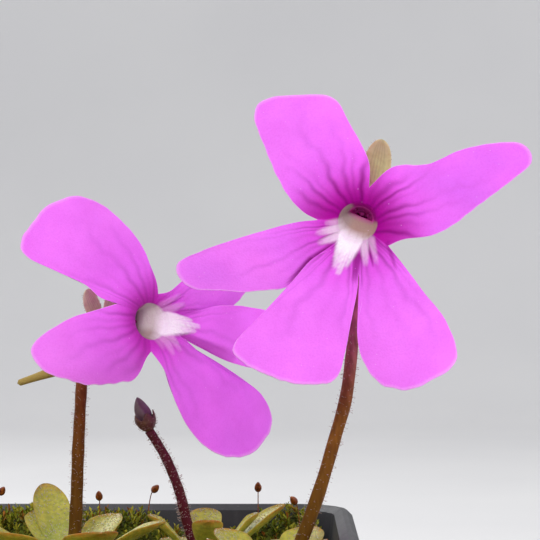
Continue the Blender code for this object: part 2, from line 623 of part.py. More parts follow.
def make_calyx(name, flower, upper_sepal):
    """A small cup on the stalk, with five sepals that spread behind the lobes."""
    cup = np.asarray(CUP_CENTRE)
    turn = np.arange(CUP_SIDES) * 2 * math.pi / CUP_SIDES
    rings = [np.column_stack([r * np.cos(turn), r * np.sin(turn), np.full(CUP_SIDES, z)]) + cup
             for r, z in CUP_SHAPE]
    points, faces = skin(rings, *(cup + (0.0, 0.0, z) for z in CUP_ENDS))
    calyx = new_object(name, place(flower, points), faces, "sepal")
    axes = flower_axes(flower)
    sepals = []
    for k, (bearing, reach, half, rise) in enumerate((upper_sepal, *SEPALS)):
        angle = math.radians(bearing)
        share = np.array([0.0, 0.25, 0.5, 0.75, 0.92, 1.0])[:, None]
        across = np.array([-1.0, 0.0, 1.0])[None, :]
        width = half * np.sin(math.pi * (0.14 + 0.62 * share)) ** 0.75 * np.sqrt(1.02 - share ** 6)
        out = SEPAL_ROOT + reach * share
        height = cup[2] + 0.1 + SEPAL_STEP * k + rise * share ** 1.2 - SEPAL_FOLD * np.abs(across)
        side = width * across
        grid = np.stack([cup[0] + out * math.cos(angle) - side * math.sin(angle),
                         cup[1] + out * math.sin(angle) + side * math.cos(angle),
                         height + 0 * across], axis=-1)
        sepals.append(new_object("sepal_%d" % k, *blade(place(flower, grid), BLADE, -axes[2]), "sepal"))
    return boolean(calyx, "UNION", sepals)


def make_pistil(name, flower):
    """The ovary, its short style and the flat stigma lobe, inside the tube."""
    turn = np.arange(PISTIL_SIDES) * 2 * math.pi / PISTIL_SIDES
    rings = [np.column_stack([r * np.cos(turn), PISTIL_UP + r * np.sin(turn), np.full(PISTIL_SIDES, z)])
             for r, z in PISTIL_SHAPE]
    points, faces = skin(rings, *((0.0, PISTIL_UP, z) for z in PISTIL_ENDS))
    return new_object(name, place(flower, points), faces, "pistil")


def make_scape(name):
    """A bare stalk, a little thinner towards its flower."""
    radius = BUD_SCAPE_RADIUS if name == "scape_bud" else SCAPE_RADIUS
    line = through(SCAPES[name], SCAPE_POINTS)
    radii = radius * np.linspace(*SCAPE_TAPER, SCAPE_POINTS)
    return new_object(name, *tube(line, radii, SCAPE_SIDES), "bud_scape" if name == "scape_bud" else "scape")


def make_bud():
    """The closed bud: an egg of folded lobes in a cup with five pointed teeth."""
    axis = np.asarray(BUD_TILT) / np.linalg.norm(BUD_TILT)
    side = np.cross(axis, (0.0, 1.0, 0.0))
    side /= np.linalg.norm(side)
    across = np.cross(axis, side)
    turn = np.arange(BUD_SIDES) * 2 * math.pi / BUD_SIDES

    def ring(radius, height):
        """A ring of points at a height above the bud's base, with its own radii."""
        radius = radius * np.ones(BUD_SIDES)
        return (np.asarray(BUD_BASE) + height * np.ones((BUD_SIDES, 1)) * axis
                + (radius * np.cos(turn))[:, None] * side + (radius * np.sin(turn))[:, None] * across)

    rings = []
    for share in np.linspace(0.06, 0.96, 9):
        fold = 1.0 + BUD_FOLD * np.cos(BUD_LOBES * turn) * share
        girth = BUD_RADIUS * math.sin(math.pi * share ** 0.85) ** 0.7
        rings.append(ring(girth * fold, BUD_START + BUD_LENGTH * share))
    foot, head = BUD_BASE + (BUD_START + 0.1) * axis, BUD_BASE + (BUD_START + BUD_LENGTH) * axis
    new_object("corolla_bud", *skin(rings, foot, head), "bud")
    tooth = 0.5 - 0.5 * np.cos(BUD_LOBES * turn)
    lip = [ring(*values) + (TOOTH_LENGTH * tooth)[:, None] * axis for values in BUD_CUP_LIP]
    rings = [ring(*values) for values in BUD_CUP_OUTSIDE] + lip + [ring(*values) for values in BUD_CUP_INSIDE]
    foot, floor = (BUD_BASE + height * axis for height in BUD_CUP_ENDS)
    new_object("calyx_bud", *skin(rings, foot, floor), "sepal")


for leftover in list(bpy.data.objects):
    bpy.data.objects.remove(leftover)
make_pot()
make_soil()
make_moss()
for rosette in CROWNS:
    make_rosette(rosette)
for scape in SCAPES:
    make_scape(scape)
for which, values in FLOWERS.items():
    make_corolla("corolla_" + which, values)
    make_calyx("calyx_" + which, values, UPPER_SEPAL[which])
    make_pistil("pistil_" + which, values)
make_bud()
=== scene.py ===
import math

import bpy
import numpy as np
from mathutils import Euler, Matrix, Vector


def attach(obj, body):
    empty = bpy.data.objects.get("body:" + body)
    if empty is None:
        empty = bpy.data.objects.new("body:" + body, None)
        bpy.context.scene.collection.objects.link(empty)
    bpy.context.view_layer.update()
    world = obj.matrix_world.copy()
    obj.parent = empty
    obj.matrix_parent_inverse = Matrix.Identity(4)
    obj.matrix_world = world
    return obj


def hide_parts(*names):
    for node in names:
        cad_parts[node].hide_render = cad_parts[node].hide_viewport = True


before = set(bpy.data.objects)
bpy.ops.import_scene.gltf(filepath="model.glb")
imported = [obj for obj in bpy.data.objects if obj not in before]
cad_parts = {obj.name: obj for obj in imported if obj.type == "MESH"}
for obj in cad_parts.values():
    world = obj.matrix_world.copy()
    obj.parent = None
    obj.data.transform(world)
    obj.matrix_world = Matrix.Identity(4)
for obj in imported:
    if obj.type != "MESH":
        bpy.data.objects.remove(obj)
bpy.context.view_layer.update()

# Pot
# A square nursery pot with rounded corners and a folded rim band, injection moulded in
# dark grey plastic. It carries fine moulding grain, faint drag lines from the mould and a
# chalky bloom where water has dried on it.
MM = 0.001                      # sizes below are in millimetres unless a name says metres
POT_TOP = 70.0
POT_BASE = 52.0
POT_HEIGHT = 65.0
POT_WALL = 1.4
POT_BAND = 1.0                  # how far the rim band stands out
POT_GREY = (0.040, 0.041, 0.044)
POT_BLOOM = (0.13, 0.13, 0.125)


class Finish:
    """A material made of nodes: add() puts a node in, join() links two sockets."""

    def __init__(self, name, roughness, **shader_values):
        self.material = bpy.data.materials.new(name)
        self.material.use_nodes = True
        self.tree = self.material.node_tree
        self.shader = self.tree.nodes["Principled BSDF"]
        self.shader.inputs["Roughness"].default_value = roughness
        for socket, value in shader_values.items():
            self.shader.inputs[socket.replace("_", " ")].default_value = value
        self.place = self.add("ShaderNodeTexCoord").outputs["Object"]

    def add(self, kind, settings=None, **sockets):
        node = self.tree.nodes.new(kind)
        for key, value in (settings or {}).items():
            setattr(node, key, value)
        for key, value in sockets.items():
            node.inputs[key.replace("_", " ")].default_value = value
        return node

    def join(self, source, target):
        self.tree.links.new(source, target)

    def noise(self, per_mm, detail=3.0, stretch=(1.0, 1.0, 1.0), distortion=0.0):
        """Cloudy noise with per_mm features in a millimetre, stretched along the axes."""
        mapping = self.add("ShaderNodeMapping", Scale=[per_mm / MM * value for value in stretch])
        self.join(self.place, mapping.inputs["Vector"])
        node = self.add("ShaderNodeTexNoise", Scale=1.0, Detail=detail, Distortion=distortion)
        self.join(mapping.outputs["Vector"], node.inputs["Vector"])
        return node.outputs["Fac"]

    def cells(self, per_mm):
        """Distance in a field of cells, with per_mm cells along a millimetre."""
        node = self.add("ShaderNodeTexVoronoi", Scale=per_mm / MM)
        self.join(self.place, node.inputs["Vector"])
        return node.outputs["Distance"]

    def spread(self, source, low, high, to_low=0.0, to_high=1.0):
        """Maps a range of a value to another range, clamped."""
        node = self.add("ShaderNodeMapRange", From_Min=low, From_Max=high, To_Min=to_low, To_Max=to_high)
        self.join(source, node.inputs["Value"])
        return node.outputs["Result"]

    def mix(self, factor, first, second, blend="MIX"):
        """Blends two colours, each a socket or a plain colour."""
        node = self.add("ShaderNodeMix", {"data_type": "RGBA", "blend_type": blend})
        for socket, value in ((node.inputs[0], factor), (node.inputs[6], first), (node.inputs[7], second)):
            if isinstance(value, bpy.types.NodeSocket):
                self.join(value, socket)
            elif isinstance(value, (int, float)):
                socket.default_value = value
            else:
                socket.default_value = (*value, 1.0)
        return node.outputs[2]

    def tint(self):
        """The colour that the mesh carries at each point."""
        return self.add("ShaderNodeAttribute", {"attribute_name": "tint"}).outputs["Color"]

    def colour(self, source):
        self.join(source, self.shader.inputs["Base Color"])

    def rough(self, source, low, high):
        self.join(self.spread(source, 0.0, 1.0, low, high), self.shader.inputs["Roughness"])

    def bump(self, source, height_mm, strength=1.0, after=None):
        """Relief from a value, with the height of its full range in millimetres."""
        node = self.add("ShaderNodeBump", Strength=strength, Distance=height_mm * MM)
        self.join(source, node.inputs["Height"])
        if after is not None:
            self.join(after, node.inputs["Normal"])
        self.join(node.outputs["Normal"], self.shader.inputs["Normal"])
        return node.outputs["Normal"]


def pot_finish():
    """Grey plastic with chalk in clouds, runs and specks, and fine upright drag lines."""
    pot = Finish("pot_plastic", 0.5, Specular_IOR_Level=0.45)
    bloom = pot.noise(0.05, 5.0, distortion=0.6)
    specks = pot.noise(2.2, 2.0)
    runs = pot.noise(0.35, 4.0, (1.0, 1.0, 0.10))
    dusty = pot.mix(pot.spread(runs, 0.50, 0.80, 0.0, 0.30), POT_GREY, POT_BLOOM)
    dusty = pot.mix(pot.spread(bloom, 0.45, 0.75, 0.0, 0.12), dusty, POT_BLOOM)
    pot.colour(pot.mix(pot.spread(specks, 0.66, 0.74, 0.0, 0.35), dusty, POT_BLOOM))
    pot.rough(runs, 0.40, 0.62)
    drag = pot.noise(1.4, 2.0, (1.0, 1.0, 0.06))
    grain = pot.bump(drag, 0.012)
    pot.bump(pot.noise(7.0, 2.0), 0.02, 1.0, grain)
    return pot.material


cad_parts["pot"].material_slots[0].material = pot_finish()

# Soil
# Damp peat mixed with fine grit and a little pale perlite, filled in loose and pressed
# down lightly round the crowns. It shows only where the moss leaves it bare.
SOIL_TOP = 56.0
SOIL_RELIEF = 0.35
PEAT = (0.022, 0.014, 0.009)
PEAT_LIGHT = (0.075, 0.045, 0.025)
GRIT_SIZE = (0.18, 0.62)        # smallest and largest half width of a grain
GRIT_FLATNESS = 0.55            # a grain's smallest width beside its largest
GRIT_COUNT = 900
GRIT_SHADES = ((0.05, 0.03, 0.018), (0.11, 0.075, 0.045), (0.25, 0.22, 0.18), (0.55, 0.53, 0.49))
GRIT_ODDS = (0.45, 0.33, 0.14, 0.08)        # how common each shade is


def smooth_step(value):
    """Rises from 0 to 1 with level ends as value goes from 0 to 1."""
    value = np.clip(value, 0.0, 1.0)
    return value * value * (3.0 - 2.0 * value)


def soil_height(x, y):
    """The bed's top plus slow waves: one product of a sine and a cosine, and one slanted sine."""
    waves = np.sin(0.45 * x + 0.3) * np.cos(0.38 * y) + 0.6 * np.sin(0.9 * x - 0.7 * y)
    return SOIL_TOP + SOIL_RELIEF * waves


def add_piece(name, points, faces, finish, slot, stands_for=(), tint=None):
    """Puts points in millimetres and blocks of faces into a mesh that moves with the plant."""
    mesh = bpy.data.meshes.new(name)
    blocks = faces if isinstance(faces, list) else [faces]
    mesh.from_pydata((points * MM).tolist(), [], [face for block in blocks for face in block.tolist()])
    if tint is not None:
        colours = np.column_stack([tint, np.ones(len(tint))])
        mesh.color_attributes.new("tint", "FLOAT_COLOR", "POINT").data.foreach_set("color", colours.ravel())
    mesh.materials.append(finish)
    mesh.shade_smooth()
    piece = bpy.data.objects.new(name, mesh)
    bpy.context.scene.collection.objects.link(piece)
    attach(piece, "root")
    if stands_for:
        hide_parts(*stands_for)


def scatter(shape_points, shape_faces, places, turns):
    """Copies one small shape to many places: points times a 3 by 3 turn, plus the place."""
    points = np.einsum("kc,ncd->nkd", shape_points, turns) + places[:, None, :]
    steps = np.arange(len(places))[:, None, None] * len(shape_points)
    faces = shape_faces[None, :, :] + steps
    return points.reshape(-1, 3), faces.reshape(-1, shape_faces.shape[1])


OCTAHEDRON = np.array([
    (1, 0, 0), (-1, 0, 0), (0, 1, 0), (0, -1, 0), (0, 0, 1), (0, 0, -1)], dtype=float)
OCTAHEDRON_FACES = np.array([
    (0, 2, 4), (2, 1, 4), (1, 3, 4), (3, 0, 4), (2, 0, 5), (1, 2, 5), (3, 1, 5), (0, 3, 5)])


def rounded_grain():
    """An octahedron with each edge cut in two, and the new points pushed out almost to a ball."""
    middles = {}
    points = [tuple(p) for p in OCTAHEDRON]
    faces = []

    def middle(a, b):
        key = (min(a, b), max(a, b))
        if key not in middles:
            centre = 0.5 * (np.array(points[a]) + np.array(points[b]))
            points.append(tuple(centre / np.linalg.norm(centre) * 0.93))
            middles[key] = len(points) - 1
        return middles[key]

    for a, b, c in OCTAHEDRON_FACES.tolist():
        ab, bc, ca = middle(a, b), middle(b, c), middle(c, a)
        faces += [(a, ab, ca), (ab, b, bc), (ca, bc, c), (ab, bc, ca)]
    return np.array(points), np.array(faces)


def random_turns(draw, count, size_low, size_high):
    """Random rotations, each scaled by its own sizes along its three axes."""
    axes = draw.normal(size=(count, 3, 3))
    first = axes[:, 0] / np.linalg.norm(axes[:, 0], axis=1)[:, None]
    second = np.cross(first, axes[:, 1])
    second /= np.linalg.norm(second, axis=1)[:, None]
    third = np.cross(first, second)
    size = draw.uniform(size_low, size_high, (count, 1)) * draw.uniform(GRIT_FLATNESS, 1.0, (count, 3))
    return np.stack([first, second, third], axis=1) * size[:, :, None]


def peat_finish():
    peat = Finish("peat", 0.92, Specular_IOR_Level=0.25)
    crumbs = peat.noise(1.1, 6.0)
    peat.colour(peat.mix(peat.spread(crumbs, 0.42, 0.66), PEAT, PEAT_LIGHT))
    peat.bump(crumbs, 0.9)
    return peat.material


def grit_finish():
    grit = Finish("grit", 0.8)
    grit.colour(grit.mix(grit.spread(grit.noise(3.0, 3.0), 0.35, 0.65, 0.0, 0.5), grit.tint(), PEAT_LIGHT))
    grit.bump(grit.noise(8.0, 3.0), 0.05)
    return grit.material


def pot_half(z, inset):
    """Half the pot's outer width at a height, less an inset."""
    return 0.5 * (POT_BASE + (POT_TOP - 2.0 * POT_BAND - POT_BASE) * z / POT_HEIGHT) - inset


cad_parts["soil"].material_slots[0].material = peat_finish()

CROWNS = {                      # x, y, longest leaf, outer and inner leaves, first bearing
    "rosette_front": (24.8, -7.3, 19.0, 7, 5, 250.0),
    "rosette_left": (-1.6, 6.3, 24.0, 8, 6, 142.0),
    "rosette_back": (15.7, 18.4, 13.0, 6, 4, 62.0),
}
CROWN_RADIUS = 3.4
MOSS_RING = 3.2


def make_grit():
    """Grains lie in the bare ring round each crown, at random bearings and reaches."""
    draw = np.random.default_rng(11)
    centres = np.array([values[:2] for values in CROWNS.values()])
    owner = draw.integers(0, len(centres), GRIT_COUNT)
    angle = draw.uniform(0.0, 2 * math.pi, GRIT_COUNT)
    reach = draw.uniform(CROWN_RADIUS + 0.2, CROWN_RADIUS + MOSS_RING - 0.2, GRIT_COUNT)
    x = centres[owner, 0] + reach * np.cos(angle)
    y = centres[owner, 1] + reach * np.sin(angle)
    places = np.column_stack([x, y, soil_height(x, y) + 0.12])
    turns = random_turns(draw, GRIT_COUNT, *GRIT_SIZE)
    points, faces = scatter(*rounded_grain(), places, turns)
    pick = np.array(GRIT_SHADES)[draw.choice(len(GRIT_SHADES), GRIT_COUNT, p=GRIT_ODDS)]
    tint = np.repeat(pick, len(points) // GRIT_COUNT, axis=0)
    add_piece("soil_grit", points, faces, grit_finish(), "soil", tint=tint)


make_grit()

# Moss
# A low cushion of yellow-green moss that has covered the soil, highest along the back
# wall. Each shoot is a short stem with whorls of pointed leaves, rusty at some tips, and
# a few shoots carry a dark red capsule on a thin wiry stalk.
MOSS_BACK = 5.0
MOSS_SUNK = 1.1                 # how far the shoots' tips stay below the full height at the back
MOSS_LUMP = 0.75
MOSS_SHOOTS = 5200
MOSS_LEAVES = 11
MOSS_CORNER = 7.0               # radius of the cushion's corners
SHOOT_TALL = (1.75, 2.15)       # height of a shoot beside the leaves and in the open
SHOOT_WIDE = (1.25, 1.50)       # and how far its leaves spread
CUSHION_AROUND = 220
CUSHION_RINGS = 56
CUSHION_FOOT = 0.9              # height of the skirt above the soil's top
MOSS_DARK = (0.045, 0.060, 0.006)
MOSS_GREEN = (0.230, 0.290, 0.020)
MOSS_YELLOW = (0.560, 0.500, 0.040)
MOSS_RUST = (0.480, 0.130, 0.020)
CAPSULE_RED = (0.110, 0.012, 0.010)
CAPSULE_STALK = 0.07
CAPSULE_LENGTH = 1.9
# Where each capsule starts.
CAPSULES = ((22.4, 28.0, 67.4), (-12.4, 27.6, 67.0), (27.6, 25.5, 66.0), (-22.0, 24.5, 66.6),
            (8.0, 29.2, 67.2), (-27.0, 12.0, 62.6), (29.0, 12.5, 63.8), (-25.5, -14.0, 63.4),
            (-9.0, -26.0, 63.6), (6.5, -27.5, 62.8), (-29.0, 29.0, 66.2), (1.2, 26.6, 66.4))


def beyond_leaves(x, y):
    """How far a place is outside the nearest rosette's leaves; less than 0 is inside."""
    spans = [np.hypot(x - values[0], y - values[1]) - 0.8 * values[2] for values in CROWNS.values()]
    return np.min(spans, axis=0)


def to_crown(x, y):
    """How far a place is from the middle of the nearest crown."""
    return np.min([np.hypot(x - values[0], y - values[1]) for values in CROWNS.values()], axis=0)


def moss_height(x, y):
    """Thin near the leaves, a cushion away from them, highest along the back wall, with
    rounded lumps: the product of two bent waves without their signs."""
    away = smooth_step((beyond_leaves(x, y) + 2.5) / 9.0)
    back = smooth_step((y - 18.0) / 11.0) * smooth_step((beyond_leaves(x, y) + 1.5) / 5.0)
    lumps = np.abs(np.sin(0.62 * x + 0.9 * np.sin(0.31 * y)))
    lumps = lumps * np.abs(np.cos(0.55 * y + 0.7 * np.sin(0.4 * x)))
    return SOIL_TOP + 1.3 + 2.8 * away + MOSS_BACK * back + 2 * MOSS_LUMP * (0.3 + 0.7 * away) * lumps


def moss_top(x, y):
    """Where the moss's tips end: the moss's height, lowered a little along the back wall."""
    return moss_height(x, y) - MOSS_SUNK * smooth_step((y - 16.0) / 10.0)


def grid_faces(rows, columns, closed=False):
    """The quads of a grid of points, whose columns may close into a ring."""
    i, j = np.meshgrid(np.arange(rows - 1), np.arange(columns if closed else columns - 1), indexing="ij")
    k = (j + 1) % columns
    low, high = i * columns, (i + 1) * columns
    return np.stack([low + j, low + k, high + k, high + j], axis=-1).reshape(-1, 4)


def fan_faces(ring_start, count, pole, flip):
    """Triangles from a ring of points to one pole; flipped ones look the other way."""
    j = np.arange(count)
    k = (j + 1) % count
    around = (ring_start + k, ring_start + j) if flip else (ring_start + j, ring_start + k)
    return np.stack([np.full(count, pole), *around], axis=1)


def capped_faces(rows, around, turned=False):
    """The quads between closed rings, and at each end a fan to a pole; the poles are the two
    points after the rings. Turned faces look the other way."""
    walls = grid_faces(rows, around, True)
    return [walls[:, ::-1] if turned else walls,
            fan_faces(0, around, rows * around, not turned),
            fan_faces((rows - 1) * around, around, rows * around + 1, turned)]


def squircle(angle, half, corner):
    """A square with rounded corners as a radius for each bearing: a superellipse whose
    power makes its corners as round as asked."""
    power = 2.0 + 1.9 * half / corner
    spread = np.abs(np.cos(angle)) ** power + np.abs(np.sin(angle)) ** power
    return half * spread ** (-1.0 / power)


def moss_cushion():
    """The dark lower layer: rings of a rounded square from a skirt to the middle."""
    angle = np.linspace(0.0, 2 * math.pi, CUSHION_AROUND, endpoint=False)
    top = pot_half(SOIL_TOP, POT_WALL + 0.4)
    share = np.concatenate([[1.0], np.linspace(1.0, 0.04, CUSHION_RINGS)])
    reach = squircle(angle, top, MOSS_CORNER)
    x, y = np.outer(share, reach * np.cos(angle)), np.outer(share, reach * np.sin(angle))
    rough = 0.22 * np.sin(2.1 * x + 1.7 * y) * np.sin(2.6 * y - 1.2 * x)
    z = moss_top(x, y) - 1.45 + rough - 0.5 * (1.0 - smooth_step((beyond_leaves(x, y) + 3.0) / 6.0))
    z = z - 3.2 * (1.0 - smooth_step((to_crown(x, y) - CROWN_RADIUS - MOSS_RING + 1.6) / 1.6))
    z[0] = SOIL_TOP + CUSHION_FOOT
    middle = np.array([[0.0, 0.0, SOIL_TOP + CUSHION_FOOT], [0.0, 0.0, z[-1].mean()]])
    points = np.vstack([np.stack([x, y, z], axis=-1).reshape(-1, 3), middle])
    return points, capped_faces(*z.shape)


def moss_cushion_finish():
    moss = Finish("moss_cushion", 0.9)
    moss.colour(moss.mix(moss.spread(moss.noise(0.9, 5.0), 0.35, 0.7), MOSS_DARK, MOSS_GREEN))
    moss.bump(moss.noise(2.6, 4.0), 0.5)
    return moss.material


def moss_shoot():
    """One shoot, about 1 mm tall: pointed leaves, each a bent kite, in a rising spiral."""
    points, faces = [], []
    for k in range(MOSS_LEAVES):
        turn = 2.4 * k
        rise = 0.20 + 0.72 * k / (MOSS_LEAVES - 1)
        out = 0.62 * (1.0 - 0.55 * k / (MOSS_LEAVES - 1))
        lift = 0.12 + 0.42 * k / (MOSS_LEAVES - 1)
        ahead = np.array([math.cos(turn), math.sin(turn), 0.0])
        aside = np.array([-math.sin(turn), math.cos(turn), 0.0])
        foot = np.array([0.0, 0.0, rise - 0.16])
        belly = foot + 0.45 * out * ahead + np.array([0.0, 0.0, 0.5 * lift])
        tip = foot + out * ahead + np.array([0.0, 0.0, lift * 0.7])
        start = len(points)
        points += [foot, belly + 0.13 * aside, tip, belly - 0.13 * aside]
        faces.append((start, start + 1, start + 2, start + 3))
    return np.array(points), np.array(faces)


def between(first, second, share):
    """A colour on the way from the first to the second, for shares of 0 to 1."""
    first = np.asarray(first)
    return first + (np.asarray(second) - first) * share


def make_moss():
    """Shoots stand on a shaken grid over the cushion, each turned, sized and leant at random."""
    draw = np.random.default_rng(7)
    add_piece("moss_cushion", *moss_cushion(), moss_cushion_finish(), "moss", ("moss",))
    half = pot_half(SOIL_TOP, POT_WALL + 0.9)
    steps = int(math.sqrt(MOSS_SHOOTS * 1.45))
    grid = (np.arange(steps) + 0.5) / steps * 2 - 1
    x, y = np.meshgrid(grid * half, grid * half)
    x = (x + draw.uniform(-0.42, 0.42, x.shape) * 2 * half / steps).ravel()
    y = (y + draw.uniform(-0.42, 0.42, y.shape) * 2 * half / steps).ravel()
    angle = np.arctan2(y, x)
    beside = to_crown(x, y) > CROWN_RADIUS + MOSS_RING - 0.4
    keep = (np.hypot(x, y) < squircle(angle, half, MOSS_CORNER - 1.0)) & beside
    x, y = x[keep], y[keep]
    open_sky = smooth_step((beyond_leaves(x, y) + 3.0) / 6.0)
    count = len(x)
    tall = (SHOOT_TALL[0] + (SHOOT_TALL[1] - SHOOT_TALL[0]) * open_sky) * draw.uniform(0.75, 1.25, count)
    wide = (SHOOT_WIDE[0] + (SHOOT_WIDE[1] - SHOOT_WIDE[0]) * open_sky) * draw.uniform(0.8, 1.2, count)
    turn = draw.uniform(0.0, 2 * math.pi, count)
    lean = draw.normal(0.0, 0.16, (count, 2))
    zero = np.zeros(count)
    turns = np.stack([
        np.stack([wide * np.cos(turn), wide * np.sin(turn), zero], axis=1),
        np.stack([-wide * np.sin(turn), wide * np.cos(turn), zero], axis=1),
        np.stack([tall * lean[:, 0], tall * lean[:, 1], tall], axis=1)], axis=1)
    places = np.column_stack([x, y, moss_top(x, y) - 1.55 - 0.20 * open_sky])
    shape, leaves = moss_shoot()
    points, faces = scatter(shape, leaves, places, turns)
    patch = 0.5 + 0.5 * np.sin(0.33 * x + 1.3 * np.sin(0.21 * y)) * np.cos(0.29 * y)
    young = np.clip(patch + draw.normal(0.0, 0.25, count), 0.0, 1.0)[:, None]
    body = between(MOSS_GREEN, MOSS_YELLOW, young)
    rusty = (draw.random(count) < 0.10)[:, None]
    height = (shape[:, 2] / shape[:, 2].max())[None, :, None]
    tip = np.where(rusty, np.array(MOSS_RUST), body * 1.15)
    tint = between(body[:, None, :], tip[:, None, :], height) * (0.45 + 0.55 * height)
    moss = Finish("moss_leaves", 0.7, Specular_IOR_Level=0.2, Subsurface_Weight=0.2, Subsurface_Scale=0.0006)
    moss.colour(moss.mix(moss.spread(moss.noise(5.0, 2.0), 0.3, 0.7, 0.0, 0.35), moss.tint(), MOSS_DARK))
    add_piece("moss_shoots", points, faces, moss.material, "moss", tint=np.clip(tint.reshape(-1, 3), 0, 1))


def through(points, count):
    """count points, evenly spaced, on a smooth curve through the given ones."""
    knots = np.asarray(points, dtype=float)
    padded = np.vstack([2 * knots[0] - knots[1], knots, 2 * knots[-1] - knots[-2]])
    steps = np.linspace(0.0, 1.0, 12, endpoint=False)[:, None]
    curve = []
    for a, b, c, d in zip(padded, padded[1:], padded[2:], padded[3:]):
        curve.append(0.5 * (2 * b + (c - a) * steps + (2 * a - 5 * b + 4 * c - d) * steps ** 2
                            + (3 * b - a - 3 * c + d) * steps ** 3))
    curve = np.vstack(curve + [knots[-1:]])
    run = np.concatenate([[0.0], np.cumsum(np.linalg.norm(np.diff(curve, axis=0), axis=1))])
    wanted = np.linspace(0.0, run[-1], count)
    return np.stack([np.interp(wanted, run, curve[:, k]) for k in range(curve.shape[1])], axis=1)


def tube(line, radii, sides):
    """A closed rod: circles square to a line of points, each with its own radius, and a
    pole at each end."""
    line = np.asarray(line, dtype=float)
    along = np.gradient(line, axis=0)
    along /= np.linalg.norm(along, axis=1)[:, None]
    turn = np.arange(sides) * 2 * math.pi / sides
    side = np.cross(along[0], (0.3, 1.0, 0.2))
    frames = []
    for forward in along:
        side = side - forward * np.dot(side, forward)
        side = side / np.linalg.norm(side)
        frames.append((side, np.cross(forward, side)))
    circle = np.stack([np.cos(turn), np.sin(turn)])
    spokes = np.einsum("fkc,kn->fnc", np.array(frames), circle)
    rings = line[:, None, :] + np.asarray(radii)[:, None, None] * spokes
    points = np.vstack([rings.reshape(-1, 3), line[:1], line[-1:]])
    return points, capped_faces(len(line), sides)


def joined(parts):
    """Several closed shapes, each points and blocks of faces, as one."""
    points, blocks, start = [], {}, 0
    for part_points, part_faces in parts:
        for block in (part_faces if isinstance(part_faces, list) else [part_faces]):
            blocks.setdefault(block.shape[1], []).append(block + start)
        points.append(part_points)
        start += len(part_points)
    return np.vstack(points), [np.vstack(group) for group in blocks.values()]


def make_capsules():
    """A capsule is an egg on a bent stalk: a tube whose radius swells and closes."""
    parts = []
    for k, (x, y, z) in enumerate(CAPSULES):
        foot = float(moss_height(np.array([x]), np.array([y]))[0]) - 1.0
        bend = 0.5 * math.sin(2.0 * k)
        line = through(((x - bend, y + 0.4, foot), (x - 0.6 * bend, y + 0.2, 0.5 * (foot + z)),
                        (x, y, z - 0.3), (x + 0.5 * bend, y - 0.4, z + 0.1)), 12)
        parts.append(tube(line, np.full(len(line), CAPSULE_STALK), 6))
        ahead = line[-1] - line[-2]
        ahead /= np.linalg.norm(ahead)
        share = np.linspace(0.0, 1.0, 11)
        egg = line[-1] + (share[:, None] * CAPSULE_LENGTH - 0.1) * ahead
        parts.append(tube(egg, 0.10 + 0.45 * np.sin(math.pi * share ** 0.8) ** 0.8 * (1 - 0.3 * share), 12))
    points, faces = joined(parts)
    capsule = Finish("moss_capsule", 0.4)
    capsule.colour(capsule.mix(capsule.spread(capsule.noise(2.5), 0.35, 0.7), CAPSULE_RED, MOSS_RUST))
    capsule.bump(capsule.noise(6.0), 0.04)
    add_piece("moss_capsules", points, faces, capsule.material, "moss")


make_moss()
make_capsules()

# Rosettes
# Three crowns of succulent, greasy-looking leaves that lie on the moss, with an inner ring
# that stands up a little. Their margins roll upwards, their tips turn orange-red in bright
# light, and their faces are covered with fine glands that each carry a drop of glue.
CROWN_HEIGHTS = (-9.0, -6.0, -2.0, 1.0, 3.4, 4.4, 5.1)      # above and below the soil's top
CROWN_RADII = (0.9, 2.8, 3.3, 3.3, 3.1, 2.3, 1.4)
CROWN_RINGS = 20
CROWN_FOOT_REACH = 2.1
LEAF_ROOT_Z = 58.1
LEAF_TIP_Z = 60.7
TIP_LIFT = 0.06
INNER_ROOT_Z = 60.1
INNER_TIP_Z = 64.4
LEAF_SHAPE = 0.56
LEAF_ARCH = 0.5
LEAF_ROLL = 0.8
SHORTEST_LEAF = 6.0
INNER_SHARE = 0.62
INNER_TURN = 31.0
LEAF_STEP = 0.07
# Bearing, length and rise of the one leaf that stands up.
TALL_LEAVES = {"rosette_left": (106.0, 14.0, 9.3), "rosette_back": (10.0, 10.5, 6.5)}
TALL_WIDTH = 5.6
LEAF_FLESH = 0.62               # thickness of a leaf along its midrib
LEAF_EDGE = 0.08                # and at its margins
LEAF_ROWS = 30
LEAF_COLUMNS = 17
LEAF_GREEN = (0.250, 0.320, 0.030)
LEAF_YELLOW = (0.500, 0.460, 0.060)
LEAF_RED = (0.480, 0.080, 0.015)
LEAF_MOTTLE = (0.16, 0.19, 0.03)
GLAND_DOT = (0.62, 0.60, 0.30)
GLANDS_PER_LEAF = 190
GLUE_CLEAR = (0.92, 0.90, 0.62)
GLUE_AMBER = (0.95, 0.86, 0.70)


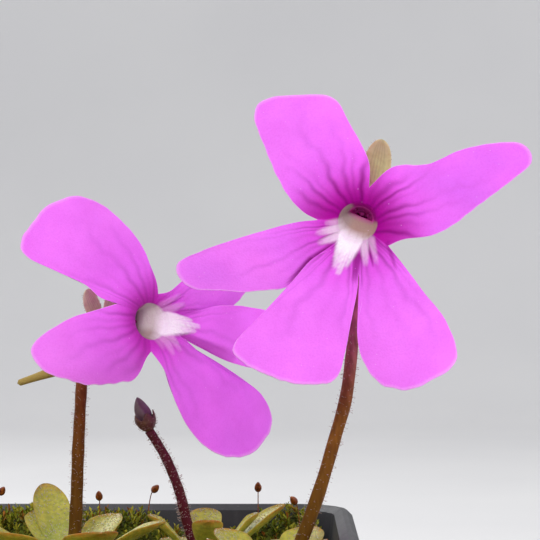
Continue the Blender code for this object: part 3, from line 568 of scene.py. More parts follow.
def leaf_surface(share, across, leaf):
    """A leaf over its length (0 to 1) and width (-1 to 1). Its half width is a belly curve
    that closes round at the tip. It rises from foot to tip with a low arch, and its height
    grows towards its margins by a power, which rolls them up."""
    x, y, bearing, length, width, foot_z, tip_z, arch, roll = leaf
    angle = math.radians(bearing)
    belly = 0.34 + 0.66 * np.sin(0.66 * math.pi * share ** 0.9) ** 1.3
    blunt = np.sqrt(np.maximum(0.0, 1.0 - share ** 6))
    half = 0.5 * width * belly * blunt
    out = CROWN_FOOT_REACH + (length - CROWN_FOOT_REACH) * share
    out = out - 0.10 * length * share ** 3 * across ** 2 * blunt
    side = half * across * (1.0 - 0.10 * np.abs(across))
    height = foot_z + (tip_z - foot_z) * share ** 1.15 + arch * np.sin(math.pi * share)
    rolled = roll * (0.35 + 0.65 * share) * (1.0 - 0.85 * smooth_step((share - 0.62) / 0.38))
    height = height + rolled * np.abs(across) ** 2.5 * np.minimum(1.0, half / 1.2)
    height = height - 0.22 * np.exp(-(across / 0.12) ** 2) * (1.0 - share) - 0.1
    return np.stack([x + out * math.cos(angle) - side * math.sin(angle),
                     y + out * math.sin(angle) + side * math.cos(angle), height], axis=-1)


def blade_grid(rows, columns):
    """Shares of a blade's length and width, closer together at its ends and its margins."""
    share = 0.5 - 0.5 * np.cos(np.linspace(0.0, math.pi, rows))
    across = np.sin(np.linspace(-0.5 * math.pi, 0.5 * math.pi, columns))
    return share[:, None], across[None, :]


def blade_body(face, thick):
    """A closed blade: its face, its back lower by a thickness, and a pole at each end."""
    back = face[:, ::-1].copy()
    back[..., 2] -= thick[:, ::-1]
    loop = np.concatenate([face, back], axis=1)
    points = np.vstack([loop.reshape(-1, 3), loop[0].mean(axis=0), loop[-1].mean(axis=0)])
    return points, capped_faces(len(loop), loop.shape[1], True)


def blade_shares(share, across):
    """How far along and how far across each point of a closed blade is."""
    along = np.concatenate([np.repeat(share[:, 0], 2 * across.shape[1]), [0.0, 1.0]])
    there_and_back = np.concatenate([across[0], across[0, ::-1]])
    return along, np.concatenate([np.tile(there_and_back, len(share)), [0.0, 0.0]])


def leaf_body(leaf):
    """The leaf's face and its back, whose thickness shrinks to the margins and the tip."""
    share, across = blade_grid(LEAF_ROWS, LEAF_COLUMNS)
    share = share ** 0.9
    thick = LEAF_FLESH * (1.0 - 0.75 * across ** 4) * (1.0 - 0.7 * share ** 5)
    thick[:, [0, -1]] = LEAF_EDGE
    along, wide = blade_shares(share, across)
    return *blade_body(leaf_surface(share, across, leaf), thick), along, np.abs(wide)


def leaf_tint(along, wide, ripe):
    """Green at the foot, yellow along the blade, and red at the tip and the margins."""
    blade = between(LEAF_GREEN, LEAF_YELLOW, smooth_step(along * 1.2 + 0.25 * wide)[:, None])
    edge = smooth_step((along - 0.84 + 0.14 * wide ** 6) / 0.22) * (0.15 + 0.70 * ripe)
    edge = np.maximum(edge, smooth_step((wide - 0.90) / 0.1) * along * 0.55 * ripe)
    return between(blade, LEAF_RED, edge[:, None])


def leaves_of(name):
    """Which leaves a crown carries: two rings, each leaf as long as its room allows."""
    x, y, longest, outer, inner, first = CROWNS[name]
    leaves = []
    for k in range(outer + inner):
        if k < outer:
            bearing = first + 360.0 * k / outer
            wanted = longest * (1.0 - 0.02 * k)
            foot_z, tip_z = LEAF_ROOT_Z, LEAF_TIP_Z
        else:
            bearing = first + INNER_TURN + 360.0 * (k - outer) / inner
            wanted = longest * (INNER_SHARE - 0.03 * (k - outer))
            foot_z, tip_z = INNER_ROOT_Z, INNER_TIP_Z
        foot_z, tip_z = foot_z + LEAF_STEP * k, tip_z + (LEAF_STEP + 0.02) * k
        for length in np.arange(wanted, SHORTEST_LEAF, -0.5):
            leaf = (x, y, bearing, length, LEAF_SHAPE * length + 0.6, foot_z, tip_z + TIP_LIFT * length,
                    LEAF_ARCH, LEAF_ROLL)
            if has_room(name, leaf):
                leaves.append(leaf)
                break
    if name in TALL_LEAVES:
        bearing, length, rise = TALL_LEAVES[name]
        leaves.append((x, y, bearing, length, TALL_WIDTH, INNER_ROOT_Z + 0.5, INNER_ROOT_Z + rise,
                       LEAF_ARCH - 0.2, LEAF_ROLL))
    return leaves


def has_room(name, leaf):
    """Whether a leaf stays in the pot, above the moss, and nearest to its own crown."""
    share = np.array([0.0, 0.22, 0.46, 0.70, 0.88, 0.97, 1.0])[:, None]
    across = np.array([-1.0, -0.5, 0.5, 1.0])[None, :]
    x, y, z = np.moveaxis(leaf_surface(share, across, leaf), -1, 0)
    spans = {crown: np.hypot(x - values[0], y - values[1]) for crown, values in CROWNS.items()}
    own = spans.pop(name)
    wall = pot_half(LEAF_TIP_Z, POT_WALL + 1.0)
    inside = max(np.max(np.abs(x)), np.max(np.abs(y))) < wall
    own_ground = np.all(own + 1.2 < np.min(list(spans.values()), axis=0))
    beyond = own > CROWN_RADIUS + MOSS_RING
    return inside and own_ground and np.all((z - 1.9 > moss_height(x, y))[beyond])


def leaf_finish():
    """The leaf's own tint with a darker mottle, and a pale dot and a bump at each gland."""
    leaf = Finish("leaf_skin", 0.42, Specular_IOR_Level=0.35, Subsurface_Weight=0.2, Subsurface_Scale=0.001,
                  Coat_Weight=0.12, Coat_Roughness=0.3)
    mottle = leaf.noise(1.6, 4.0)
    darker = leaf.mix(leaf.spread(mottle, 0.35, 0.65, 0.0, 0.5), leaf.tint(), LEAF_MOTTLE)
    dots = leaf.cells(3.4)
    leaf.colour(leaf.mix(leaf.spread(dots, 0.05, 0.16, 0.45, 0.0), darker, GLAND_DOT))
    leaf.rough(mottle, 0.26, 0.48)
    low = leaf.bump(leaf.noise(0.7, 3.0), 0.12)
    leaf.bump(dots, 0.05, 0.8, low)
    return leaf.material


def gland_finish():
    glue = Finish("gland_drops", 0.08, Transmission_Weight=0.55, IOR=1.36)
    glue.colour(glue.mix(glue.spread(glue.noise(1.2), 0.4, 0.6), GLUE_CLEAR, GLUE_AMBER))
    return glue.material


def make_rosettes():
    """Each crown is a tube with its leaves round it; the drops lie on the leaves' faces."""
    skin, drops = leaf_finish(), gland_finish()
    for order, name in enumerate(CROWNS):
        draw = np.random.default_rng(30 + order)
        x, y = CROWNS[name][:2]
        parts, tints, glands = [], [], []
        for leaf in leaves_of(name):
            points, faces, along, wide = leaf_body(leaf)
            parts.append((points, faces))
            tints.append(leaf_tint(along, wide, draw.uniform(0.4, 1.0)))
            share = draw.uniform(0.12, 0.96, GLANDS_PER_LEAF) ** 0.8
            across = draw.uniform(-0.86, 0.86, GLANDS_PER_LEAF)
            glands.append(leaf_surface(share, across, leaf))
        line = through([(x, y, SOIL_TOP + height) for height in CROWN_HEIGHTS], CROWN_RINGS)
        knots = np.linspace(0.0, 1.0, len(CROWN_RADII))
        crown = tube(line, np.interp(np.linspace(0.0, 1.0, CROWN_RINGS), knots, CROWN_RADII), 28)
        parts.append(crown)
        tints.append(np.tile(np.array(LEAF_GREEN) * 0.8, (len(crown[0]), 1)))
        points, faces = joined(parts)
        add_piece(name + "_leaves", points, faces, skin, "leaf", (name,), np.vstack(tints))
        places = np.vstack(glands)
        size = draw.uniform(0.05, 0.10, len(places))
        turns = np.eye(3)[None, :, :] * size[:, None, None] * np.array([1.0, 1.0, 1.25])[None, :, None]
        drop_points, drop_faces = scatter(OCTAHEDRON, OCTAHEDRON_FACES, places + (0.0, 0.0, 0.07), turns)
        add_piece(name + "_drops", drop_points, drop_faces, drops, "leaf")


make_rosettes()

# Flower stalks
# Bare, round stalks that rise from each crown's middle and bend over behind the flower.
# They run from olive-brown at the foot to dull red or pink under the flower. The bud's is
# dark red throughout, and short hairs with sticky tips stand all over them.
SCAPE_RADIUS = 0.72
BUD_SCAPE_RADIUS = 0.62
SCAPE_TAPER = (1.18, 0.95)
SCAPES = {
    "scape_front": ((25.0, -7.2, 58.0), (26.2, -7.2, 61.5), (27.9, -7.0, 65.4), (30.1, -6.5, 71.5),
                    (31.9, -5.5, 77.5), (33.2, -4.0, 82.0), (34.0, -1.8, 87.5), (34.6, 0.5, 93.5),
                    (35.1, 2.0, 98.5), (35.7, 2.6, 102.4), (36.2, 1.9, 104.8), (36.4, 0.6, 105.6),
                    (36.27, -0.8, 105.76)),
    "scape_left": ((-1.5, 6.5, 58.0), (-0.8, 7.6, 62.5), (-0.5, 8.4, 68.0), (-0.4, 9.8, 74.0),
                   (-0.3, 12.2, 79.5), (-0.2, 14.6, 84.0), (0.0, 15.8, 87.0), (0.6, 15.7, 89.1),
                   (1.1, 14.6, 89.9), (1.77, 13.65, 90.13)),
    "scape_bud": ((15.6, 18.4, 58.0), (14.6, 18.1, 60.5), (13.3, 17.9, 64.0), (12.2, 17.7, 68.4),
                  (10.7, 17.4, 72.3), (9.4, 17.1, 74.7), (8.51, 16.92, 76.11)),
}
SCAPE_COLOURS = {               # foot, middle and top of each stalk
    "scape_front": ((0.12, 0.060, 0.002), (0.230, 0.078, 0.013), (0.62, 0.150, 0.330)),
    "scape_left": ((0.12, 0.060, 0.002), (0.140, 0.046, 0.003), (0.27, 0.080, 0.026)),
    "scape_bud": ((0.075, 0.009, 0.016), (0.10, 0.010, 0.024), (0.13, 0.022, 0.040)),
}
SCAPE_STREAK = (0.06, 0.018, 0.006)
STALK_SEAT = 0.4                # how far a stalk's end reaches into the cup above it
STALK_RINGS = 90
STALK_SIDES = 18
HAIR_LENGTH = 0.42
HAIRS_PER_STALK = 620
HAIR_TAN = (0.66, 0.52, 0.42)
HAIR_PINK = (0.72, 0.45, 0.50)


def hair_shape():
    """A thin three-sided stalk, 1 unit long, with a small drop at its tip."""
    turn = np.arange(3) * 2 * math.pi / 3
    foot = np.column_stack([0.055 * np.cos(turn), 0.055 * np.sin(turn), np.zeros(3)])
    head = np.column_stack([0.035 * np.cos(turn), 0.035 * np.sin(turn), np.full(3, 0.82)])
    drop = OCTAHEDRON * (0.13, 0.13, 0.15) + (0.0, 0.0, 0.90)
    j, k = np.arange(3), (np.arange(3) + 1) % 3
    sides = np.vstack([np.stack([j, k, k + 3], axis=1), np.stack([j, k + 3, j + 3], axis=1)])
    return np.vstack([foot, head, drop]), np.vstack([sides, OCTAHEDRON_FACES + 6])


def turned_to(directions, sizes, draw):
    """Turns that carry the Z axis to each direction, scaled by each size."""
    ahead = directions / np.linalg.norm(directions, axis=1)[:, None]
    aside = np.cross(ahead, draw.normal(size=ahead.shape))
    aside /= np.linalg.norm(aside, axis=1)[:, None]
    return np.stack([aside, np.cross(ahead, aside), ahead], axis=1) * sizes[:, None, None]


def add_hairs(name, roots, outward, sizes, draw, finish, slot):
    """Hairs at their roots, each along its outward direction."""
    turns = turned_to(outward, sizes, draw)
    add_piece(name + "_hairs", *scatter(*hair_shape(), roots, turns), finish, slot)


def scape_finish(name):
    stalk = Finish(name, 0.55, Specular_IOR_Level=0.07, Subsurface_Weight=0.1, Subsurface_Scale=0.0006)
    streaks = stalk.noise(1.8, 4.0, (1.0, 1.0, 0.12))
    stalk.colour(stalk.mix(stalk.spread(streaks, 0.35, 0.7, 0.0, 0.55), stalk.tint(), SCAPE_STREAK))
    stalk.rough(streaks, 0.42, 0.62)
    stalk.bump(streaks, 0.07)
    return stalk.material


def hair_finish():
    hair = Finish("hair_drops", 0.25, Transmission_Weight=0.3, IOR=1.36)
    hair.colour(hair.mix(hair.spread(hair.noise(1.5), 0.4, 0.6), HAIR_TAN, HAIR_PINK))
    return hair.material


def make_scapes(hairs):
    """Each stalk is a tapered tube whose girth wavers a little; hairs stand on its wall."""
    for order, name in enumerate(SCAPES):
        draw = np.random.default_rng(50 + order)
        radius = BUD_SCAPE_RADIUS if name == "scape_bud" else SCAPE_RADIUS
        line = through(SCAPES[name], STALK_RINGS)
        line[-1] += STALK_SEAT * (line[-1] - line[-2]) / np.linalg.norm(line[-1] - line[-2])
        share = np.linspace(0.0, 1.0, STALK_RINGS)
        radii = radius * (SCAPE_TAPER[0] + (SCAPE_TAPER[1] - SCAPE_TAPER[0]) * share)
        radii = radii * (1.0 + 0.05 * np.sin(17.0 * share) * np.sin(41.0 * share + 1.0))
        points, faces = tube(line, radii, STALK_SIDES)
        foot, middle, top = (np.array(colour) for colour in SCAPE_COLOURS[name])
        low, high = smooth_step(share / 0.55)[:, None], smooth_step((share - 0.42) / 0.48)[:, None]
        band = foot + (middle - foot) * low + (top - middle) * high
        tint = np.vstack([np.repeat(band, STALK_SIDES, axis=0), band[:1], band[-1:]])
        slot = "bud_scape" if name == "scape_bud" else "scape"
        add_piece(name + "_stalk", points, faces, scape_finish(name + "_skin"), slot, (name,), tint)
        ring = points[:-2].reshape(STALK_RINGS, STALK_SIDES, 3)
        i = draw.integers(8, STALK_RINGS - 1, HAIRS_PER_STALK)
        j = draw.integers(0, STALK_SIDES, HAIRS_PER_STALK)
        blend = draw.random(HAIRS_PER_STALK)[:, None]
        root = ring[i, j] * (1 - blend) + ring[i - 1, (j + 1) % STALK_SIDES] * blend
        outward = ring[i, j] - line[i] + draw.normal(0.0, 0.12, (HAIRS_PER_STALK, 3))
        sizes = HAIR_LENGTH * draw.uniform(0.55, 1.15, HAIRS_PER_STALK)
        add_hairs(name, root, outward, sizes, draw, hairs, slot)


hair_glue = hair_finish()
make_scapes(hair_glue)

# Corollas
# Each flower is one petal tube with five lobes: two above, three below, flaring from a
# narrow throat and drawn out behind into a hollow spur. The lobes are thin magenta
# tissue with darker veins at their feet, and a white tongue marks the lowest one.
THROAT_RADIUS = 2.4
LIP_DEPTH = 0.9
RIBS = 80                       # ribs of each lobe, from the throat to its outline
PETAL_THICK = 0.30
PETAL_NEAR = (0.740, 0.055, 0.700)
PETAL = (0.880, 0.160, 0.930)
PETAL_PALE = (0.960, 0.225, 0.975)
PETAL_SHADE = (0.640, 0.110, 0.690)
PETAL_LILAC = (0.600, 0.140, 0.860)
PETAL_FOOT = (0.420, 0.000, 0.300)
# The dark of the veins and strokes, also used for the painted shade that one lobe casts on the next.
PETAL_VEIN_AND_SHADE = (0.235, 0.000, 0.175)
PETAL_RIM_HIGHLIGHT = (0.960, 0.440, 0.960)
PETAL_CLOUD = (0.965, 0.91, 0.96)
PETAL_TISSUE = (0.96, 0.90, 0.96)
PETAL_PAINTED_GLINT = (1.0, 0.60, 1.0)
TONGUE_WHITE = (0.980, 0.860, 0.960)
THROAT_TAN = (0.430, 0.270, 0.230)
THROAT_GREY = (0.380, 0.270, 0.260)
# Dark plum on the front throat's roof: partly the tube's own colour, partly painted shadow under its upper
# lip.
THROAT_ROOF_SHADE = (0.260, 0.008, 0.150)
THROAT_DEEP = (0.850, 0.085, 0.560)
THROAT_PALE = (0.600, 0.520, 0.500)
THROAT_ROSE = (0.500, 0.150, 0.400)
# Rings inside the tube: share of the way in, half width, middle, reach above and below, depth.
THROAT_ROWS = ((0.22, 2.30, 0.05, 2.32, 2.16, -1.15), (0.40, 2.16, 0.15, 2.12, 1.80, -1.45),
               (0.55, 1.98, 0.34, 1.84, 1.22, -1.80), (0.68, 1.78, 0.60, 1.50, 0.50, -2.20),
               (0.78, 1.58, 0.82, 1.24, 0.08, -2.60), (0.86, 1.45, 0.88, 1.14, 0.02, -3.10),
               (0.94, 1.38, 0.88, 1.06, 0.02, -3.80), (1.0, 1.25, 0.84, 0.95, 0.05, -4.30))
THROAT_END = (0.0, 0.80, -4.4)
TUBE_ROWS = ((2.4, -0.2, -3.9), (2.65, 0.05, -3.0), (2.85, 0.02, -2.3))     # radius, middle, depth
UPPER_LOBES = (0, 4)
FOOT_REACH = (4.6, 3.4, 3.6, 3.4, 4.9)      # how far each lobe's dark foot goes past the throat
FOOT_STRENGTH = (1.0, 0.75, 0.60, 0.80, 1.0)
# White strokes on the lowest lobe and its neighbours: from, to, half widths, strength.
WHITE_STROKES = (
    ((-0.85, -2.0), (-0.28, -5.9), 0.84, 0.30, 1.0), ((0.10, -2.0), (0.40, -6.4), 0.86, 0.34, 1.0),
    ((0.95, -2.0), (0.96, -5.3), 0.72, 0.28, 0.95), ((-1.3, -1.3), (-3.6, -3.0), 0.74, 0.40, 0.60),
    ((-1.1, -2.2), (-3.0, -4.0), 0.66, 0.36, 0.62), ((-1.5, -0.6), (-3.2, -1.6), 0.55, 0.34, 0.36),
    ((1.6, -1.7), (2.9, -4.1), 0.66, 0.34, 0.52), ((2.3, -1.2), (4.0, -3.4), 0.46, 0.28, 0.34),
    ((-0.75, -0.7), (-0.5, -2.1), 0.14, 0.30, 0.8), ((0.05, -1.1), (0.15, -2.1), 0.14, 0.34, 0.8))
TONGUE_PARTS = 3                # the first strokes make the tongue, the rest lie beside it
# Dark strokes between them and in the notches, and the shade that one lobe casts on the next.
DARK_STROKES = (
    ((1.75, -3.8), (2.45, -6.4), 0.46, 0.36, 0.75), ((2.05, -1.7), (3.9, -4.1), 0.16, 0.11, 0.70),
    ((-1.5, -2.0), (-3.3, -3.7), 0.15, 0.11, 0.50), ((4.3, -0.9), (6.4, -3.2), 0.30, 0.15, 0.50))
LOBE_SHADE = (
    ((-1.5, -4.2), (-3.2, -6.4), 0.62, 0.52, 0.90), ((-3.2, -6.4), (-4.4, -9.8), 0.52, 0.40, 0.90))
TONGUE_SHADE = (((-1.4, -4.6), (-2.6, -11.5), 0.62, 1.0, 0.55),)
SPUR_TAN = (0.400, 0.290, 0.080)
SPUR_RINGS = 40
# Each flower has its throat's place, its turns in degrees, the colours and strengths of its markings, its
# spur's line, and its lobes: bearing, length, drop, cup, twist and outline. Its pale shares, how much paler
# each lobe grows towards its tip, are painted light, higher on the lobes that caught more light; the front
# flower's roof colour is partly painted shade.
FLOWERS = {
    "front": {
        "throat": (34.4, -10.0, 103.5), "yaw": -4.0, "pitch": 3.0, "roll": -24.0, "floor": THROAT_TAN,
        "roof": THROAT_ROOF_SHADE, "deep": THROAT_DEEP, "lines": 1.0, "streaks": 1.0, "shades": {1: LOBE_SHADE},
        "pale": (0.60, 0.85, 0.70, 0.70, 0.30), "lilac": (0.0, 0.22, 0.0, 0.0, 0.42),
        "spur": ((0.0, -0.4, -4.6), (-0.4, -2.3, -7.6), (-1.8, -4.2, -12.5), (-3.0, -6.0, -18.0),
                 (-3.6, -8.6, -23.0)),
        "lobes": (
            (139, 17.5, 4.2, -2.4, 0.8,
             ((-0.4, 4.3), (-1.9, 7.3), (-5.7, 10.4), (-9.0, 12.6), (-13.2, 11.3), (-16.7, 9.0),
              (-17.1, 6.9), (-14.5, 4.2), (-10.4, 0.5), (-6.8, -1.4), (-4.4, -1.7))),
            (208, 22.0, 3.2, -2.0, 0.8,
             ((-4.4, -1.7), (-7.1, -3.3), (-11.6, -6.9), (-15.8, -10.7), (-17.9, -13.4),
              (-15.8, -15.4), (-11.8, -14.2), (-7.5, -12.3), (-4.1, -10.1), (-3.0, -7.1),
              (-1.6, -4.4))),
            (270, 20.5, -1.4, -2.2, 0.0,
             ((-1.6, -4.4), (-3.1, -6.2), (-4.2, -9.6), (-5.9, -14.7), (-7.4, -19.0),
              (-6.5, -20.7), (-1.8, -20.8), (2.8, -20.1), (5.3, -18.0), (5.0, -14.7),
              (4.2, -11.2), (3.3, -7.4), (2.6, -5.5))),
            (310, 20.5, -0.6, -2.2, 0.5,
             ((2.6, -5.5), (4.3, -8.2), (5.2, -11.7), (7.4, -14.8), (10.9, -16.5), (14.8, -14.7),
              (17.4, -10.4), (14.6, -6.6), (10.4, -4.3), (7.2, -2.5), (4.5, -1.1))),
            (45, 21.5, 4.4, -2.4, 1.2,
             ((4.5, -1.1), (5.9, 0.4), (9.3, 2.8), (12.3, 7.8), (14.7, 12.3), (16.0, 15.4),
              (13.3, 16.6), (8.1, 13.4), (5.0, 10.0), (1.2, 7.8), (-0.4, 4.3))),
        ),
    },
    "left": {
        "throat": (9.5, 8.0, 91.1), "yaw": 36.0, "pitch": 10.0, "roll": 78.0, "floor": THROAT_PALE,
        "roof": THROAT_ROSE, "deep": THROAT_PALE, "lines": 0.42, "streaks": 0.45, "shades": {2: TONGUE_SHADE},
        "pale": (1.00, 0.05, 0.20, 0.20, 0.60), "lilac": (0.0, 0.10, 0.10, 0.20, 0.0),
        "spur": ((0.0, -0.4, -4.6), (-0.3, -2.3, -7.6), (-1.6, -2.0, -12.5), (-3.4, 0.6, -18.5),
                 (-5.7, 4.7, -25.0)),
        "lobes": (
            (120, 17.0, 5.0, -2.0, 0.0,
             ((1.2, 5.4), (0.1, 7.7), (-1.5, 10.9), (-4.1, 13.9), (-6.3, 14.8), (-8.4, 12.6),
              (-9.2, 7.7), (-8.1, 2.4), (-7.2, 1.1), (-5.1, 0.7), (-4.0, 0.1))),
            (210, 20.0, 1.0, -2.2, 0.5,
             ((-4.0, 0.1), (-6.4, -2.4), (-9.8, -4.4), (-13.0, -7.1), (-15.0, -10.6),
              (-14.9, -15.6), (-11.6, -20.9), (-7.9, -23.1), (-5.3, -20.2), (-4.1, -12.9),
              (-2.9, -8.0), (-1.5, -4.6))),
            (270, 20.0, -0.6, -2.2, 0.0,
             ((-1.5, -4.6), (-2.4, -7.7), (-3.4, -12.5), (-3.1, -17.5), (-0.9, -20.5),
              (2.1, -20.7), (4.4, -18.6), (4.5, -14.2), (3.7, -9.3), (1.9, -5.3))),
            (318, 17.0, 2.0, -2.0, 0.0,
             ((1.9, -5.3), (3.4, -9.4), (4.8, -13.2), (7.5, -15.8), (10.1, -16.7), (10.8, -14.2),
              (9.1, -9.3), (6.2, -4.3), (4.2, -2.0), (3.5, -0.3))),
            (55, 18.0, 5.0, -2.0, 0.0,
             ((3.5, -0.3), (6.2, 0.4), (9.4, 1.2), (12.4, 3.2), (14.9, 6.3), (15.1, 10.4),
              (12.7, 14.1), (8.4, 16.9), (6.0, 16.7), (4.4, 13.2), (3.1, 9.5), (1.7, 7.5),
              (1.2, 5.4))),
        ),
    },
}
SPUR_RADII = (2.15, 1.6, 1.05, 0.72, 0.42)
SPUR_SHARES = (0.0, 0.15, 0.35, 0.75, 1.0)
# Stations along each lobe's ribs, closer together at the throat and at the rim.
LIMB_STATIONS = np.concatenate([
    np.linspace(0.0, 0.30, 16, endpoint=False), np.linspace(0.30, 0.93, 22, endpoint=False),
    (0.93, 0.955, 0.975, 0.99, 1.0)])


def flower_axes(flower):
    """The flower's right, up and outward directions, from its yaw, pitch and roll."""
    yaw, pitch, roll = (math.radians(flower[key]) for key in ("yaw", "pitch", "roll"))
    out = np.array([math.sin(yaw) * math.cos(pitch), -math.cos(yaw) * math.cos(pitch), math.sin(pitch)])
    level = np.array([math.cos(yaw), math.sin(yaw), 0.0])
    upright = np.cross(out, level)
    right = level * math.cos(roll) + upright * math.sin(roll)
    return np.array([right, -level * math.sin(roll) + upright * math.cos(roll), out])


def place(flower, points):
    """Moves points from the flower's frame to the plant's."""
    return np.asarray(points) @ flower_axes(flower) + np.asarray(flower["throat"])


def ripple(a, b, seed):
    """Smooth waves without order: five sines in turned directions."""
    total = 0.0
    for k in range(5):
        angle = seed + 2.4 * k
        ahead = a * math.cos(angle) + b * math.sin(angle)
        total = total + np.sin((1.0 + 0.37 * k) * ahead + 1.7 * k + seed)
    return total / 3.0


def strokes(x, y, table):
    """How much of a stroke's colour lies at (x, y): full along each tapered line, with
    soft sides and a fading end; the strongest stroke counts."""
    strongest = 0.0 * x
    for start, end, half_start, half_end, strength in table:
        run = np.subtract(end, start)
        share = ((x - start[0]) * run[0] + (y - start[1]) * run[1]) / np.dot(run, run)
        held = np.clip(share, 0.0, 1.0)
        away = np.hypot(x - start[0] - held * run[0], y - start[1] - held * run[1])
        side = 1.0 - smooth_step((away / (half_start + (half_end - half_start) * held) - 0.45) / 0.95)
        strongest = np.maximum(strongest, side * strength * (1.0 - 0.45 * held ** 4))
    return strongest


def limb_depth(x, y, axis, length, drop, cup, twist):
    """How far the face of a lobe stands out at (x, y): a rounded lip at the throat, a
    tip and sides that fall back, and a twist."""
    bearing = math.radians(axis)
    along = np.maximum(0.0, x * math.cos(bearing) + y * math.sin(bearing)) / length
    across = (-x * math.sin(bearing) + y * math.cos(bearing)) / length
    reach = np.hypot(x, y)
    lip = -LIP_DEPTH * np.exp(-(reach - THROAT_RADIUS) / LIP_DEPTH)
    form = -drop * along ** 1.6 + 4.0 * cup * across ** 2 + 2.0 * twist * across * along
    return lip + smooth_step((reach - 3.2) / 5.0) * form


def vein_lines(across, reach, seed):
    """Darker lines that fan from a lobe's foot: peaks at set places across it, bent a
    little with the reach, wide at the foot and narrow further out."""
    bent = across + 0.018 * np.sin(0.9 * reach + seed) + 0.008 * np.sin(2.7 * reach + 2 * seed)
    width = 0.019 + 0.032 * np.exp(-(reach - THROAT_RADIUS) / 3.2)
    total = 0.0 * across
    for k, centre in enumerate((0.10, 0.22, 0.33, 0.47, 0.60, 0.71, 0.84, 0.93)):
        strength = 0.62 + 0.38 * math.cos(2.3 * k + 1.9 * seed)
        total = total + strength * np.exp(-((bent - centre) / width) ** 2)
    return total


def lobe_surface(flower, which):
    """One lobe over its ribs and stations. Ribs run from the throat ring to the outline,
    whose edge is scalloped by a ripple. Returns places, how far across each is (0 to 1),
    the station (0 to 1), and the depth of veins."""
    axis, length, drop, cup, twist, outline = flower["lobes"][which]
    edge = through(outline, RIBS + 1)
    across = np.linspace(0.0, 1.0, RIBS + 1)
    outward = edge / np.linalg.norm(edge, axis=1)[:, None]
    free = smooth_step(across / 0.22) * smooth_step((1.0 - across) / 0.22)
    scallop = 0.12 * ripple(26.0 * across, 0.0, 1.3 + which) + 0.09 * ripple(78.0 * across, 0.0, 4.0 + which)
    edge = edge + outward * (free * scallop)[:, None]
    start = math.atan2(outline[0][1], outline[0][0])
    sweep = (math.atan2(outline[-1][1], outline[-1][0]) - start) % (2 * math.pi)
    bearing = start + sweep * across
    foot = THROAT_RADIUS * np.stack([np.cos(bearing), np.sin(bearing)], axis=1)
    station = LIMB_STATIONS[:, None, None]
    flat = foot[None] + (edge - foot)[None] * station
    x, y = flat[..., 0], flat[..., 1]
    reach = np.hypot(x, y)
    depth = limb_depth(x, y, axis, length, drop, cup, twist)
    far = station[..., 0]
    depth = depth + 0.20 * far ** 2 * free[None] * ripple(9.0 * across[None], 2.0 * far, 4.0 + which)
    veins = vein_lines(across[None], reach, 1.7 * which)
    depth = depth - 0.05 * veins * (1.0 - smooth_step((reach - 3.0) / 9.0)) * smooth_step((reach - 2.4) / 1.0)
    depth = depth + 0.35 * strokes(x, y, WHITE_STROKES) * smooth_step((3.4 - np.abs(reach - 3.6)) / 2.0)
    depth = depth - 0.15 * strokes(x, y, DARK_STROKES)
    face = np.stack([x, y, depth], axis=-1)
    return face[:, :-1], across[None, :-1] + 0 * far, far + 0 * x[:, :-1], veins[:, :-1]


